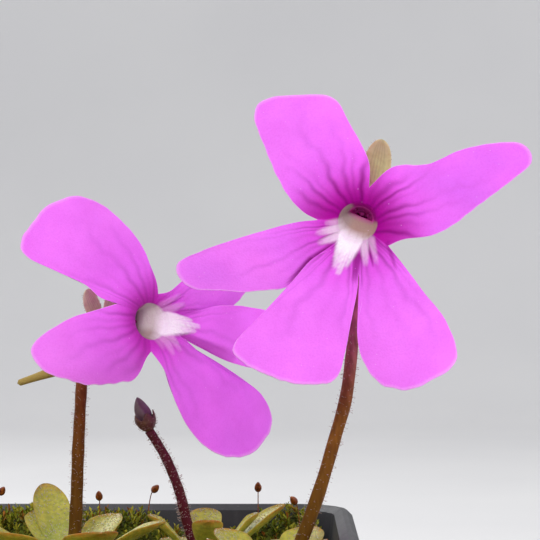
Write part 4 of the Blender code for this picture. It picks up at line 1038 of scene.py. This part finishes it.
def petal_tint(flower, which, lobe, back):
    """Colour over a lobe: magenta, paler towards the tip by a share that each flower sets for the lobe as
    painted light, dark at the foot and in the veins, painted shade where one lobe lies over the next, white
    where the tongue is, and a painted highlight along the rim, each as strong as its flower says. The back is
    plainer."""
    face, across, far, veins = lobe
    x, y = face[..., 0], face[..., 1]
    reach = np.hypot(x, y)
    # A painted highlight along the rim, on the face and on the back.
    rim = smooth_step((far - 0.982) / 0.015)
    near = smooth_step((reach - 2.5) / (3.5 + 4.0 * flower["lines"]))
    colour = between(PETAL_NEAR, PETAL, near[..., None])

    def blend(target, amount):
        return between(colour, target, amount[..., None])

    # Painted light: each lobe grows paler towards its tip by its flower's pale share, more on the lobes that
    # caught more light.
    colour = blend(PETAL_PALE, flower["pale"][which] * smooth_step((reach - 6.0) / 8.0))
    clouds = (1.0 - 0.6 * flower["pale"][which]) * (1.0 + ripple(0.45 * x, 0.45 * y, 2.0 + which))
    lilac = 0.5 + 0.5 * ripple(0.30 * x, 0.50 * y, 7.0 + which)
    colour = blend(PETAL_LILAC, flower["lilac"][which] * lilac * smooth_step((reach - 6.0) / 5.0))
    stripes = 0.5 + 0.5 * ripple(30.0 * across, 0.2 * reach, 5.0 + which)
    colour = blend(PETAL_SHADE, 0.24 * clouds * (1.0 - 0.4 * far) + 0.16 * stripes * (1.0 - far))
    veins = np.clip(veins, 0.0, 1.0)
    if back:
        colour = blend(PETAL_SHADE, 0.30 + 0.30 * (1.0 - far) + 0.15 * veins)
        return blend(PETAL_RIM_HIGHLIGHT, 0.60 * rim)
    colour = blend(PETAL_SHADE, 0.45 * veins * (1.0 - smooth_step((far - 0.5) / 0.4)))
    beside = {0: smooth_step((across - 0.6) / 0.4), 4: 1.0 - smooth_step(across / 0.45)}
    foot_reach = (FOOT_REACH[which] + 3.6 * beside.get(which, 0.0)) * (0.5 + 0.5 * flower["lines"])
    foot = 1.0 - smooth_step((reach - THROAT_RADIUS) / foot_reach)
    colour = blend(PETAL_FOOT, foot * FOOT_STRENGTH[which] * (0.4 + 0.6 * flower["lines"]))
    line = flower["lines"] * veins * (1.0 - smooth_step((reach - 3.6) / 6.4))
    colour = blend(PETAL_VEIN_AND_SHADE, line * (0.90 if which in UPPER_LOBES else 0.60))
    colour = blend(PETAL_VEIN_AND_SHADE, flower["lines"] * strokes(x, y, DARK_STROKES))
    # Painted shade that one lobe casts on the next.
    colour = blend(PETAL_VEIN_AND_SHADE, strokes(x, y, flower["shades"].get(which, ())))
    fuzz = 1.0 - 0.22 * smooth_step((reach - 3.0) / 2.0) * (1.0 + ripple(7.0 * x, 7.0 * y, 3.0))
    streaks = flower["streaks"] * strokes(x, y, WHITE_STROKES[TONGUE_PARTS:])
    white = np.maximum(strokes(x, y, WHITE_STROKES[:TONGUE_PARTS]), streaks)
    colour = blend(TONGUE_WHITE, white * np.clip(fuzz, 0.0, 1.0))
    return blend(PETAL_RIM_HIGHLIGHT, 0.70 * rim)


def throat_rings(turn):
    """The inside of the tube: rings that sink from the lip. Their upper half stays round
    while the lower half flattens, so that the floor rises like a step to a dark hole."""
    rings = []
    for row in THROAT_ROWS:
        wide, middle, above, below, depth = row[1:]
        up = middle + np.where(np.sin(turn) > 0, above, below) * np.sin(turn)
        rings.append(np.column_stack([wide * np.cos(turn), up, np.full(len(turn), depth)]))
    return rings


def throat_tint(ring, share, flower):
    """The floor's colour, greyer to one side, with the roof's and the deep parts' own; the front flower's
    dark roof is partly painted shade.
    """
    x, y = ring[:, 0], ring[:, 1]
    tan = between(flower["floor"], THROAT_GREY, smooth_step((-x - 0.2) / 1.2)[:, None])
    lifted = smooth_step((-x - 1.0) / 0.5) * smooth_step((1.9 - y) / 0.5)
    floor = np.maximum(smooth_step((1.15 - y) / 0.5), lifted)
    colour = between(between(PETAL_FOOT, flower["roof"], share), tan, floor[:, None])
    colour = between(colour, flower["deep"], smooth_step((share - 0.74) / 0.1))
    white = strokes(x, y, WHITE_STROKES) * (1.0 - smooth_step((share - 0.30) / 0.25))
    return between(colour, TONGUE_WHITE, white[:, None])


def leaning_circle(centre, radius, lean, turn):
    """A circle in a plane square to the spur's own direction: a level one, turned about the
    hinge that both planes share."""
    out = np.stack([np.cos(turn), np.sin(turn), np.zeros(len(turn))], axis=1) * radius
    forward = np.asarray(lean, dtype=float) / np.linalg.norm(lean)
    hinge = np.cross((0.0, 0.0, -1.0), forward)
    sine = np.linalg.norm(hinge)
    if sine > 1e-6:
        hinge = hinge / sine
        cosine = -forward[2]
        out = out * cosine + np.cross(hinge, out) * sine + np.outer(out @ hinge, hinge) * (1 - cosine)
    return np.asarray(centre) + out


def make_corolla(name, flower, finish):
    """One skin: the spur's tip, the tube's outside, the lobes' backs, their faces and the
    throat's inside."""
    lobes = [lobe_surface(flower, which) for which in range(5)]
    face = np.concatenate([lobe[0] for lobe in lobes], axis=1)
    tint, back_tint = (
        np.concatenate([petal_tint(flower, k, lobe, back) for k, lobe in enumerate(lobes)], axis=1)
        for back in (False, True))
    far = np.concatenate([lobe[2] for lobe in lobes], axis=1)
    turn = np.arctan2(face[0, :, 1], face[0, :, 0])
    flare = 1.0 - far
    wall = 0.7 * smooth_step((flare - 0.75) / 0.25)
    aside = np.stack([np.cos(turn), np.sin(turn)], axis=1)
    thick = PETAL_THICK * (1.0 - 0.72 * smooth_step((far - 0.80) / 0.2)) + 0.35 * wall
    back = face.copy()
    back[..., :2] += wall[..., None] * aside[None]
    back[..., 2] -= thick
    rim = 0.5 * (face[-1] + back[-1])
    rim[:, :2] += 0.05 * face[-1, :, :2] / np.linalg.norm(face[-1, :, :2], axis=1)[:, None]
    spur = through(flower["spur"], SPUR_RINGS)[::-1]
    lean = -np.gradient(spur, axis=0)
    share = np.linspace(1.0, 0.0, SPUR_RINGS)
    radii = np.interp(share, SPUR_SHARES, SPUR_RADII) * (1.0 + 0.03 * np.sin(26.0 * share))
    rings = [leaning_circle(*ring, turn) for ring in zip(spur, radii, lean)]
    shade = np.array(PETAL_SHADE)
    green = between(SPUR_TAN, shade * 0.7, 1.0 - smooth_step(share / 0.3)[:, None])
    colours = [np.tile(row, (len(turn), 1)) for row in green]
    for k, (radius, middle, depth) in enumerate(TUBE_ROWS):
        up = middle + radius * np.sin(turn)
        rings.append(np.column_stack([radius * np.cos(turn), up, np.full(len(turn), depth)]))
        colours.append(np.tile(shade * (0.75 + 0.08 * k), (len(turn), 1)))
    rings += list(back) + [rim] + list(face[::-1])
    colours += list(back_tint) + [tint[-1]] + list(tint[::-1])
    inside = throat_rings(turn)
    rings += inside
    colours += [throat_tint(ring, row[0], flower) for ring, row in zip(inside, THROAT_ROWS)]
    tip = spur[0] + 0.4 * lean[0] / np.linalg.norm(lean[0])
    points = place(flower, np.vstack(rings + [tip, THROAT_END]))
    shades = np.clip(np.vstack(colours + [colours[0][:1], flower["deep"]]), 0.0, 1.0)
    faces = capped_faces(len(rings), len(turn))
    add_piece(name + "_petals", points, faces, finish, "petal", (name,), shades)


def petal_finish():
    """The petal's own tint, dimmed a little in clouds and in fine tissue, with pale specks that are painted
    glints.
    """
    petal = Finish("petal_tissue", 0.6, Specular_IOR_Level=0.07, Subsurface_Weight=0.04,
                   Subsurface_Scale=0.0004)
    cloud = petal.noise(0.35, 4.0)
    tissue = petal.noise(4.5, 3.0)
    darker = petal.mix(petal.spread(cloud, 0.40, 0.72), petal.tint(), PETAL_CLOUD, "MULTIPLY")
    dotted = petal.mix(petal.spread(tissue, 0.45, 0.70), darker, PETAL_TISSUE, "MULTIPLY")
    # Pale specks: painted glints on the petal's surface.
    painted_glints = petal.cells(0.8)
    petal.colour(petal.mix(petal.spread(painted_glints, 0.035, 0.060, 0.35, 0.0), dotted, PETAL_PAINTED_GLINT))
    petal.rough(tissue, 0.45, 0.65)
    low = petal.bump(cloud, 0.10)
    petal.bump(tissue, 0.055, 1.0, low)
    return petal.material


petal_skin = petal_finish()
for which, flower in FLOWERS.items():
    make_corolla("corolla_" + which, flower, petal_skin)

# Calyces
# Behind each tube a small cup joins the stalk to the flower, and five blunt green-tan
# sepals spread from it. One stands up between the two upper lobes. They are finely hairy.
CUP_CENTRE = (0.0, 3.0, -7.2)
CUP_SHAPE = ((0.30, -1.55), (0.62, -1.45), (1.15, -1.10), (1.42, -0.70), (1.5, -0.3), (1.45, 0.2),
             (1.3, 0.55), (0.8, 0.95), (0.4, 1.0))
# Bearing, reach, half width and rise of each sepal.
UPPER_SEPAL = {"front": (102, 7.0, 1.7, 3.6), "left": (55, 5.0, 1.3, 2.3)}
SEPALS = ((193, 5.2, 1.2, 1.5), (226, 4.6, 1.0, 0.8), (314, 4.6, 1.0, 0.8), (350, 5.8, 1.2, 1.5))
SEPAL_ROOT = 0.6
SEPAL_STEP = 0.07
SEPAL_FOLD = 0.25
SEPAL_THICK = 0.42
# Colours of each flower's sepals at the foot and the tip of their faces: painted light, paler and greener
# than the backs to stand against the petals' shade and the magenta light they throw.
SEPAL_FACE_PAINTED_LIGHT = {"front": ((0.780, 0.940, 0.340), (0.600, 0.500, 0.280)),
              "left": ((0.780, 0.950, 0.440), (0.860, 0.960, 0.500))}
SEPAL_OLIVE = (0.480, 0.500, 0.160)
SEPAL_RIM = (0.160, 0.150, 0.110)
SEPAL_STREAK = (0.40, 0.34, 0.10)
SEPAL_VEINS = (-0.62, -0.32, 0.0, 0.32, 0.62)
SEPAL_HAIRS = 70
SEPAL_HAIR_LENGTH = 0.26
SEPAL_ROWS = 26
SEPAL_COLUMNS = 29


def sepal_surface(share, across, order, bearing, reach, half, rise):
    """A blunt blade: half width as a power of a sine, rising outwards, its sides folded
    back a little, with a shallow furrow along each vein."""
    angle = math.radians(bearing)
    blunt = np.sqrt(np.maximum(0.0, 1.0 - share ** 7))
    width = half * np.sin(math.pi * (0.14 + 0.62 * share)) ** 0.75 * blunt
    out = SEPAL_ROOT + reach * share
    height = CUP_CENTRE[2] + 0.1 + SEPAL_STEP * order + rise * share ** 1.2
    height = height - SEPAL_FOLD * np.abs(across) ** 1.5
    for vein in SEPAL_VEINS:
        height = height - 0.03 * np.exp(-((across - vein * (1.0 - 0.4 * share)) / 0.09) ** 2)
    side = width * across
    return np.stack([CUP_CENTRE[0] + out * math.cos(angle) - side * math.sin(angle),
                     CUP_CENTRE[1] + out * math.sin(angle) + side * math.cos(angle), height], axis=-1)


def make_calyx(which, flower, finish, hairs, seed):
    """The cup is a turned profile. The sepals are tinted from foot to tip, with darker veins, olive backs and
    light margins, their faces painted lighter than their backs as painted light, and hairs stand along their
    margins."""
    draw = np.random.default_rng(seed)
    name = "calyx_" + which
    olive = np.array(SEPAL_OLIVE)
    share, across = blade_grid(SEPAL_ROWS, SEPAL_COLUMNS)
    along, wide = (values[:, None] for values in blade_shares(share, across))
    behind = np.tile(np.repeat([0.0, 1.0], SEPAL_COLUMNS), SEPAL_ROWS)
    behind = np.concatenate([behind, [0.5, 0.5]])[:, None]
    # Painted light: the faces are lighter than the olive backs.
    tan = between(*SEPAL_FACE_PAINTED_LIGHT[which], smooth_step((along - 0.45) / 0.50))
    tan = between(tan, olive, 0.85 * behind)
    veins = [np.exp(-((wide - vein * (1 - 0.4 * along)) / 0.07) ** 2) for vein in SEPAL_VEINS]
    tan = tan * (1.0 - 0.20 * np.max(veins, axis=0))
    tan = tan + np.array(SEPAL_RIM) * smooth_step((np.abs(wide) - 0.86) / 0.14)
    radii, heights = np.array(CUP_SHAPE).T
    line = np.array([(0.0, 0.0, height) for height in heights]) + CUP_CENTRE
    cup = tube(line, radii, 32)
    parts, tints = [cup], [np.tile(olive, (len(cup[0]), 1))]
    roots, outs = [], []
    for order, (bearing, reach, half, rise) in enumerate((UPPER_SEPAL[which], *SEPALS)):
        front = sepal_surface(share, across, order, bearing, reach, half, rise)
        thick = SEPAL_THICK * (1.0 - 0.8 * across ** 4) * (1.0 - 0.6 * share ** 6)
        parts.append(blade_body(front, thick))
        tints.append(np.clip(tan, 0.0, 0.9))
        spots = draw.uniform(0.15, 0.98, SEPAL_HAIRS)
        sides = draw.choice((-1.0, -0.9, 0.9, 1.0), SEPAL_HAIRS)
        root = sepal_surface(spots, sides, order, bearing, reach, half, rise)
        roots.append(root)
        middle = sepal_surface(spots - 0.1, 0.0 * sides, order, bearing, reach, half, rise)
        outs.append(root - middle + draw.normal(0.0, 0.25, root.shape))
    points, faces = joined(parts)
    add_piece(name + "_sepals", place(flower, points), faces, finish, "sepal", (name,), np.vstack(tints))
    roots, outs = place(flower, np.vstack(roots)), np.vstack(outs) @ flower_axes(flower)
    sizes = SEPAL_HAIR_LENGTH * draw.uniform(0.6, 1.1, len(outs))
    add_hairs(name, roots, outs, sizes, draw, hairs, "sepal")


def sepal_finish():
    sepal = Finish("sepal_skin", 0.6, Specular_IOR_Level=0.25, Subsurface_Weight=0.12,
                   Subsurface_Scale=0.0006)
    streaks = sepal.noise(1.5, 4.0)
    sepal.colour(sepal.mix(sepal.spread(streaks, 0.42, 0.70, 0.0, 0.25), sepal.tint(), SEPAL_STREAK))
    sepal.rough(streaks, 0.42, 0.65)
    sepal.bump(sepal.noise(4.0, 3.0), 0.05)
    return sepal.material


sepal_skin = sepal_finish()
for order, (which, flower) in enumerate(FLOWERS.items()):
    make_calyx(which, flower, sepal_skin, hair_glue, 70 + order)

# Pistils and stamens
# Inside each throat sit an ovary with a short style and a flap-like stigma, and two bent stamens with their
# anthers, all tucked under the roof of the tube. All are dark plum as painted shade, so that they sink into
# the throat's shadow.
PISTIL_UP = 1.25
PISTIL_HEIGHTS = (-4.1, -3.95, -3.7, -3.45, -3.2, -3.0, -2.85, -2.75)
PISTIL_RADII = (0.10, 0.26, 0.36, 0.34, 0.20, 0.14, 0.30, 0.22)
ANTHER_RADII = (0.08, 0.2, 0.24, 0.22, 0.16, 0.06)
# Painted shade: the parts are coloured dark so that they vanish in the throat.
PISTIL_SHADE_PLUM = (0.220, 0.014, 0.120)
PISTIL_SHADE_DARK = (0.150, 0.008, 0.080)


def make_pistil(name, flower, finish):
    """The ovary and style are a turned profile; each stamen is a bent tube with an egg."""
    parts = [tube([(0.0, PISTIL_UP, height) for height in PISTIL_HEIGHTS], PISTIL_RADII, 16)]
    for side in (-1.0, 1.0):
        stalk = through(((0.3 * side, 1.0, -4.1), (0.62 * side, 1.1, -3.7), (0.7 * side, 1.3, -3.2)), 8)
        parts.append(tube(stalk, np.full(len(stalk), 0.10), 8))
        anther = through((stalk[-1], stalk[-1] + (0.0, 0.05, 0.35)), len(ANTHER_RADII))
        parts.append(tube(anther, ANTHER_RADII, 10))
    points, faces = joined(parts)
    add_piece(name + "_parts", place(flower, points), faces, finish, "pistil", (name,))


def pistil_finish():
    pistil = Finish("pistil_skin", 0.8, Specular_IOR_Level=0.05)
    pistil.colour(pistil.mix(pistil.spread(pistil.noise(2.5), 0.4, 0.65), PISTIL_SHADE_PLUM, PISTIL_SHADE_DARK))
    pistil.bump(pistil.noise(7.0), 0.03)
    return pistil.material


pistil_skin = pistil_finish()
for which, flower in FLOWERS.items():
    make_pistil("pistil_" + which, flower, pistil_skin)

# Bud
# A closed bud on the dark stalk: five greyish pink lobes wrapped over each other in a cup
# whose five blunt teeth hold their feet.
BUD_BASE = (8.44, 16.9, 76.3)
BUD_TILT = (-0.35, -0.1, 0.93)
BUD_LENGTH = 4.1
BUD_RADIUS = 1.0
BUD_START = 0.75
BUD_PINK = (0.180, 0.085, 0.122)
BUD_GREY = (0.270, 0.205, 0.220)
BUD_CUP = (0.110, 0.018, 0.030)
BUD_CUP_TAN = (0.20, 0.09, 0.06)
BUD_HAIRS = 150
BUD_HAIR_LENGTH = 0.28
# Rings of the bud's cup: radius, height, and how far the teeth lift it.
BUD_CUP_ROWS = (
    (0.30, 0.10, 0), (0.58, 0.22, 0), (0.80, 0.42, 0), (1.02, 0.70, 0), (1.20, 1.0, 0), (1.33, 1.35, 0),
    (1.40, 1.6, 0.15), (1.42, 1.75, 0.45), (1.38, 1.82, 0.75), (1.30, 1.84, 0.8), (1.23, 1.80, 0.7),
    (1.18, 1.65, 0.4), (1.15, 1.45, 0.1), (1.05, 1.1, 0), (0.80, 0.8, 0))


def bud_axes():
    """The bud's axis and two directions square to it."""
    axis = np.asarray(BUD_TILT) / np.linalg.norm(BUD_TILT)
    side = np.cross(axis, (0.0, 1.0, 0.0))
    side /= np.linalg.norm(side)
    return axis, side, np.cross(axis, side)


def bud_rings(radii, heights, turn):
    """Rings round the bud's axis, with a radius and a height at each bearing."""
    axis, side, across = bud_axes()
    radii, heights = radii * np.ones_like(turn), heights * np.ones_like(turn)
    return (np.asarray(BUD_BASE) + heights[..., None] * axis + (radii * np.cos(turn))[..., None] * side
            + (radii * np.sin(turn))[..., None] * across)


def make_bud():
    """The egg's girth is a power of a sine, with a sawtooth step where each lobe's edge
    laps the next, turning as it rises."""
    rows, around = 44, 90
    share = np.linspace(0.03, 0.985, rows)[:, None]
    turn = (np.arange(around) * 2 * math.pi / around)[None, :]
    lap = (5.0 * turn / (2 * math.pi) + 0.9 * share) % 1.0
    step = smooth_step(lap / 0.86) * (1.0 - smooth_step((lap - 0.86) / 0.14))
    girth = BUD_RADIUS * np.sin(math.pi * share ** 0.85) ** 0.7
    radii = girth * (0.93 + 0.15 * step * np.sin(math.pi * share) ** 0.5)
    rings = bud_rings(radii, BUD_START + BUD_LENGTH * share, turn)
    axis = bud_axes()[0]
    ends = np.array([BUD_BASE + (BUD_START + 0.05) * axis, BUD_BASE + (BUD_START + BUD_LENGTH) * axis])
    points = np.vstack([rings.reshape(-1, 3), ends])
    faces = capped_faces(rows, around)
    pale = between(BUD_PINK, BUD_GREY, (0.4 * share + 0.6 * step)[..., None])
    tint = np.vstack([pale.reshape(-1, 3), pale[0, :1], pale[-1, :1]])
    bud = Finish("bud_lobes", 0.55, Subsurface_Weight=0.15, Subsurface_Scale=0.0006)
    bud.colour(bud.mix(bud.spread(bud.noise(1.8, 4.0), 0.38, 0.68, 0.0, 0.5), bud.tint(), BUD_PINK))
    bud.bump(bud.noise(5.0), 0.04)
    add_piece("corolla_bud_lobes", points, faces, bud.material, "bud", ("corolla_bud",), tint)


def make_bud_cup(hairs):
    """A cup of rings from foot to lip and back down inside; its lip rises in five teeth."""
    around = 100
    turn = np.arange(around) * 2 * math.pi / around
    tooth = (0.5 - 0.5 * np.cos(5 * turn)) ** 0.8
    rings = [bud_rings(radius, height + lift * tooth, turn) for radius, height, lift in BUD_CUP_ROWS]
    axis = bud_axes()[0]
    points = np.vstack(rings + [BUD_BASE + 0.07 * axis, BUD_BASE + 0.6 * axis])
    faces = capped_faces(len(rings), around)
    cup = Finish("bud_cup_skin", 0.5)
    cup.colour(cup.mix(cup.spread(cup.noise(1.6, 4.0), 0.35, 0.7), BUD_CUP, BUD_CUP_TAN))
    cup.bump(cup.noise(4.0), 0.06)
    add_piece("calyx_bud_cup", points, faces, cup.material, "sepal", ("calyx_bud",))
    draw = np.random.default_rng(90)
    row, spot = draw.integers(2, 9, BUD_HAIRS), draw.integers(0, around, BUD_HAIRS)
    root = np.array(rings)[row, spot]
    heights = (root - np.asarray(BUD_BASE)) @ axis
    outward = root - (np.asarray(BUD_BASE) + heights[:, None] * axis) + draw.normal(0.0, 0.2, root.shape)
    sizes = BUD_HAIR_LENGTH * draw.uniform(0.6, 1.1, BUD_HAIRS)
    add_hairs("calyx_bud", root, outward, sizes, draw, hairs, "sepal")


make_bud()
make_bud_cup(hair_glue)

# Table and backdrop
# A plain, matt, pale sheet that lies flat under the pot and curves up far behind it. It
# belongs to the studio and not to the plant.
SHEET_HALF = 1.6                # metres, as are the rest of the studio's sizes
SHEET_FRONT = -1.4
SHEET_BACK = 0.95
SHEET_BEND = 0.35
SHEET_TOP = 1.5
SHEET_PALE = (0.88, 0.875, 0.865)
SHEET_SHADE = (0.85, 0.845, 0.84)


def make_sheet():
    """A profile of a level run, a quarter circle and an upright run, carried sideways."""
    bend = np.linspace(0.0, 0.5 * math.pi, 24)
    curve = np.column_stack([SHEET_BACK + SHEET_BEND * np.sin(bend), SHEET_BEND * (1 - np.cos(bend))])
    profile = np.vstack([[(SHEET_FRONT, 0.0)], curve, [(SHEET_BACK + SHEET_BEND, SHEET_TOP)]])
    count = len(profile)
    points = np.zeros((count, 2, 3))
    points[:, 0, 0], points[:, 1, 0] = -SHEET_HALF, SHEET_HALF
    points[:, :, 1:] = profile[:, None, :]
    mesh = bpy.data.meshes.new("sheet")
    mesh.from_pydata(points.reshape(-1, 3).tolist(), [], grid_faces(count, 2)[:, ::-1].tolist())
    mesh.shade_smooth()
    sheet = Finish("pale_sheet", 0.9)
    sheet.colour(sheet.mix(sheet.spread(sheet.noise(0.01, 2.0), 0.3, 0.7), SHEET_PALE, SHEET_SHADE))
    mesh.materials.append(sheet.material)
    floor = bpy.data.objects.new("sheet", mesh)
    bpy.context.scene.collection.objects.link(floor)


make_sheet()

# Light and camera
# Round soft lights stand to the front, to one side and high behind, in a pale room. The
# camera looks at the flowers from the front, a degree downwards, through a long lens.
LIGHTS = {                      # place, aim, width, power in watts
    "front_box": ((-0.25, -0.75, 0.65), (0.02, 0.0, 0.09), 0.5, 4.7),
    "side_box": ((0.70, -0.25, 0.35), (0.02, 0.0, 0.08), 0.5, 1.6),
    "rear_box": ((-0.30, 0.55, 0.70), (0.02, 0.0, 0.08), 0.6, 3.2),
}
CAMERA_PLACE = (0.024, -0.310, 0.103)
CAMERA_DOWN = 1.0               # degrees below level
CAMERA_LENS = 168.0             # millimetres, as is the sensor
CAMERA_SENSOR = 36.0
CAMERA_NEAR = 0.01
ROOM_LIGHT = 0.50
ROOM_COLOUR = (0.93, 0.94, 1.0, 1.0)


def make_light_and_camera():
    """Round area lights aimed at the plant, an even pale room, and a camera tipped a little down."""
    for name, (where, aim, width, power) in LIGHTS.items():
        light = bpy.data.lights.new(name, "AREA")
        light.shape = "DISK"
        light.size = width
        light.energy = power
        lamp = bpy.data.objects.new(name, light)
        lamp.location = where
        lamp.rotation_euler = (Vector(aim) - Vector(where)).to_track_quat("-Z", "Y").to_euler()
        bpy.context.scene.collection.objects.link(lamp)
    world = bpy.data.worlds.new("room")
    world.use_nodes = True
    world.node_tree.nodes["Background"].inputs["Color"].default_value = ROOM_COLOUR
    world.node_tree.nodes["Background"].inputs["Strength"].default_value = ROOM_LIGHT
    bpy.context.scene.world = world
    view = bpy.data.cameras.new("camera")
    view.lens = CAMERA_LENS
    view.sensor_width = CAMERA_SENSOR
    view.clip_start = CAMERA_NEAR
    camera = bpy.data.objects.new("camera", view)
    camera.location = CAMERA_PLACE
    camera.rotation_euler = Euler((math.radians(90.0 - CAMERA_DOWN), 0.0, 0.0))
    bpy.context.scene.collection.objects.link(camera)
    bpy.context.scene.camera = camera
    bpy.context.scene.view_settings.view_transform = "Standard"


make_light_and_camera()
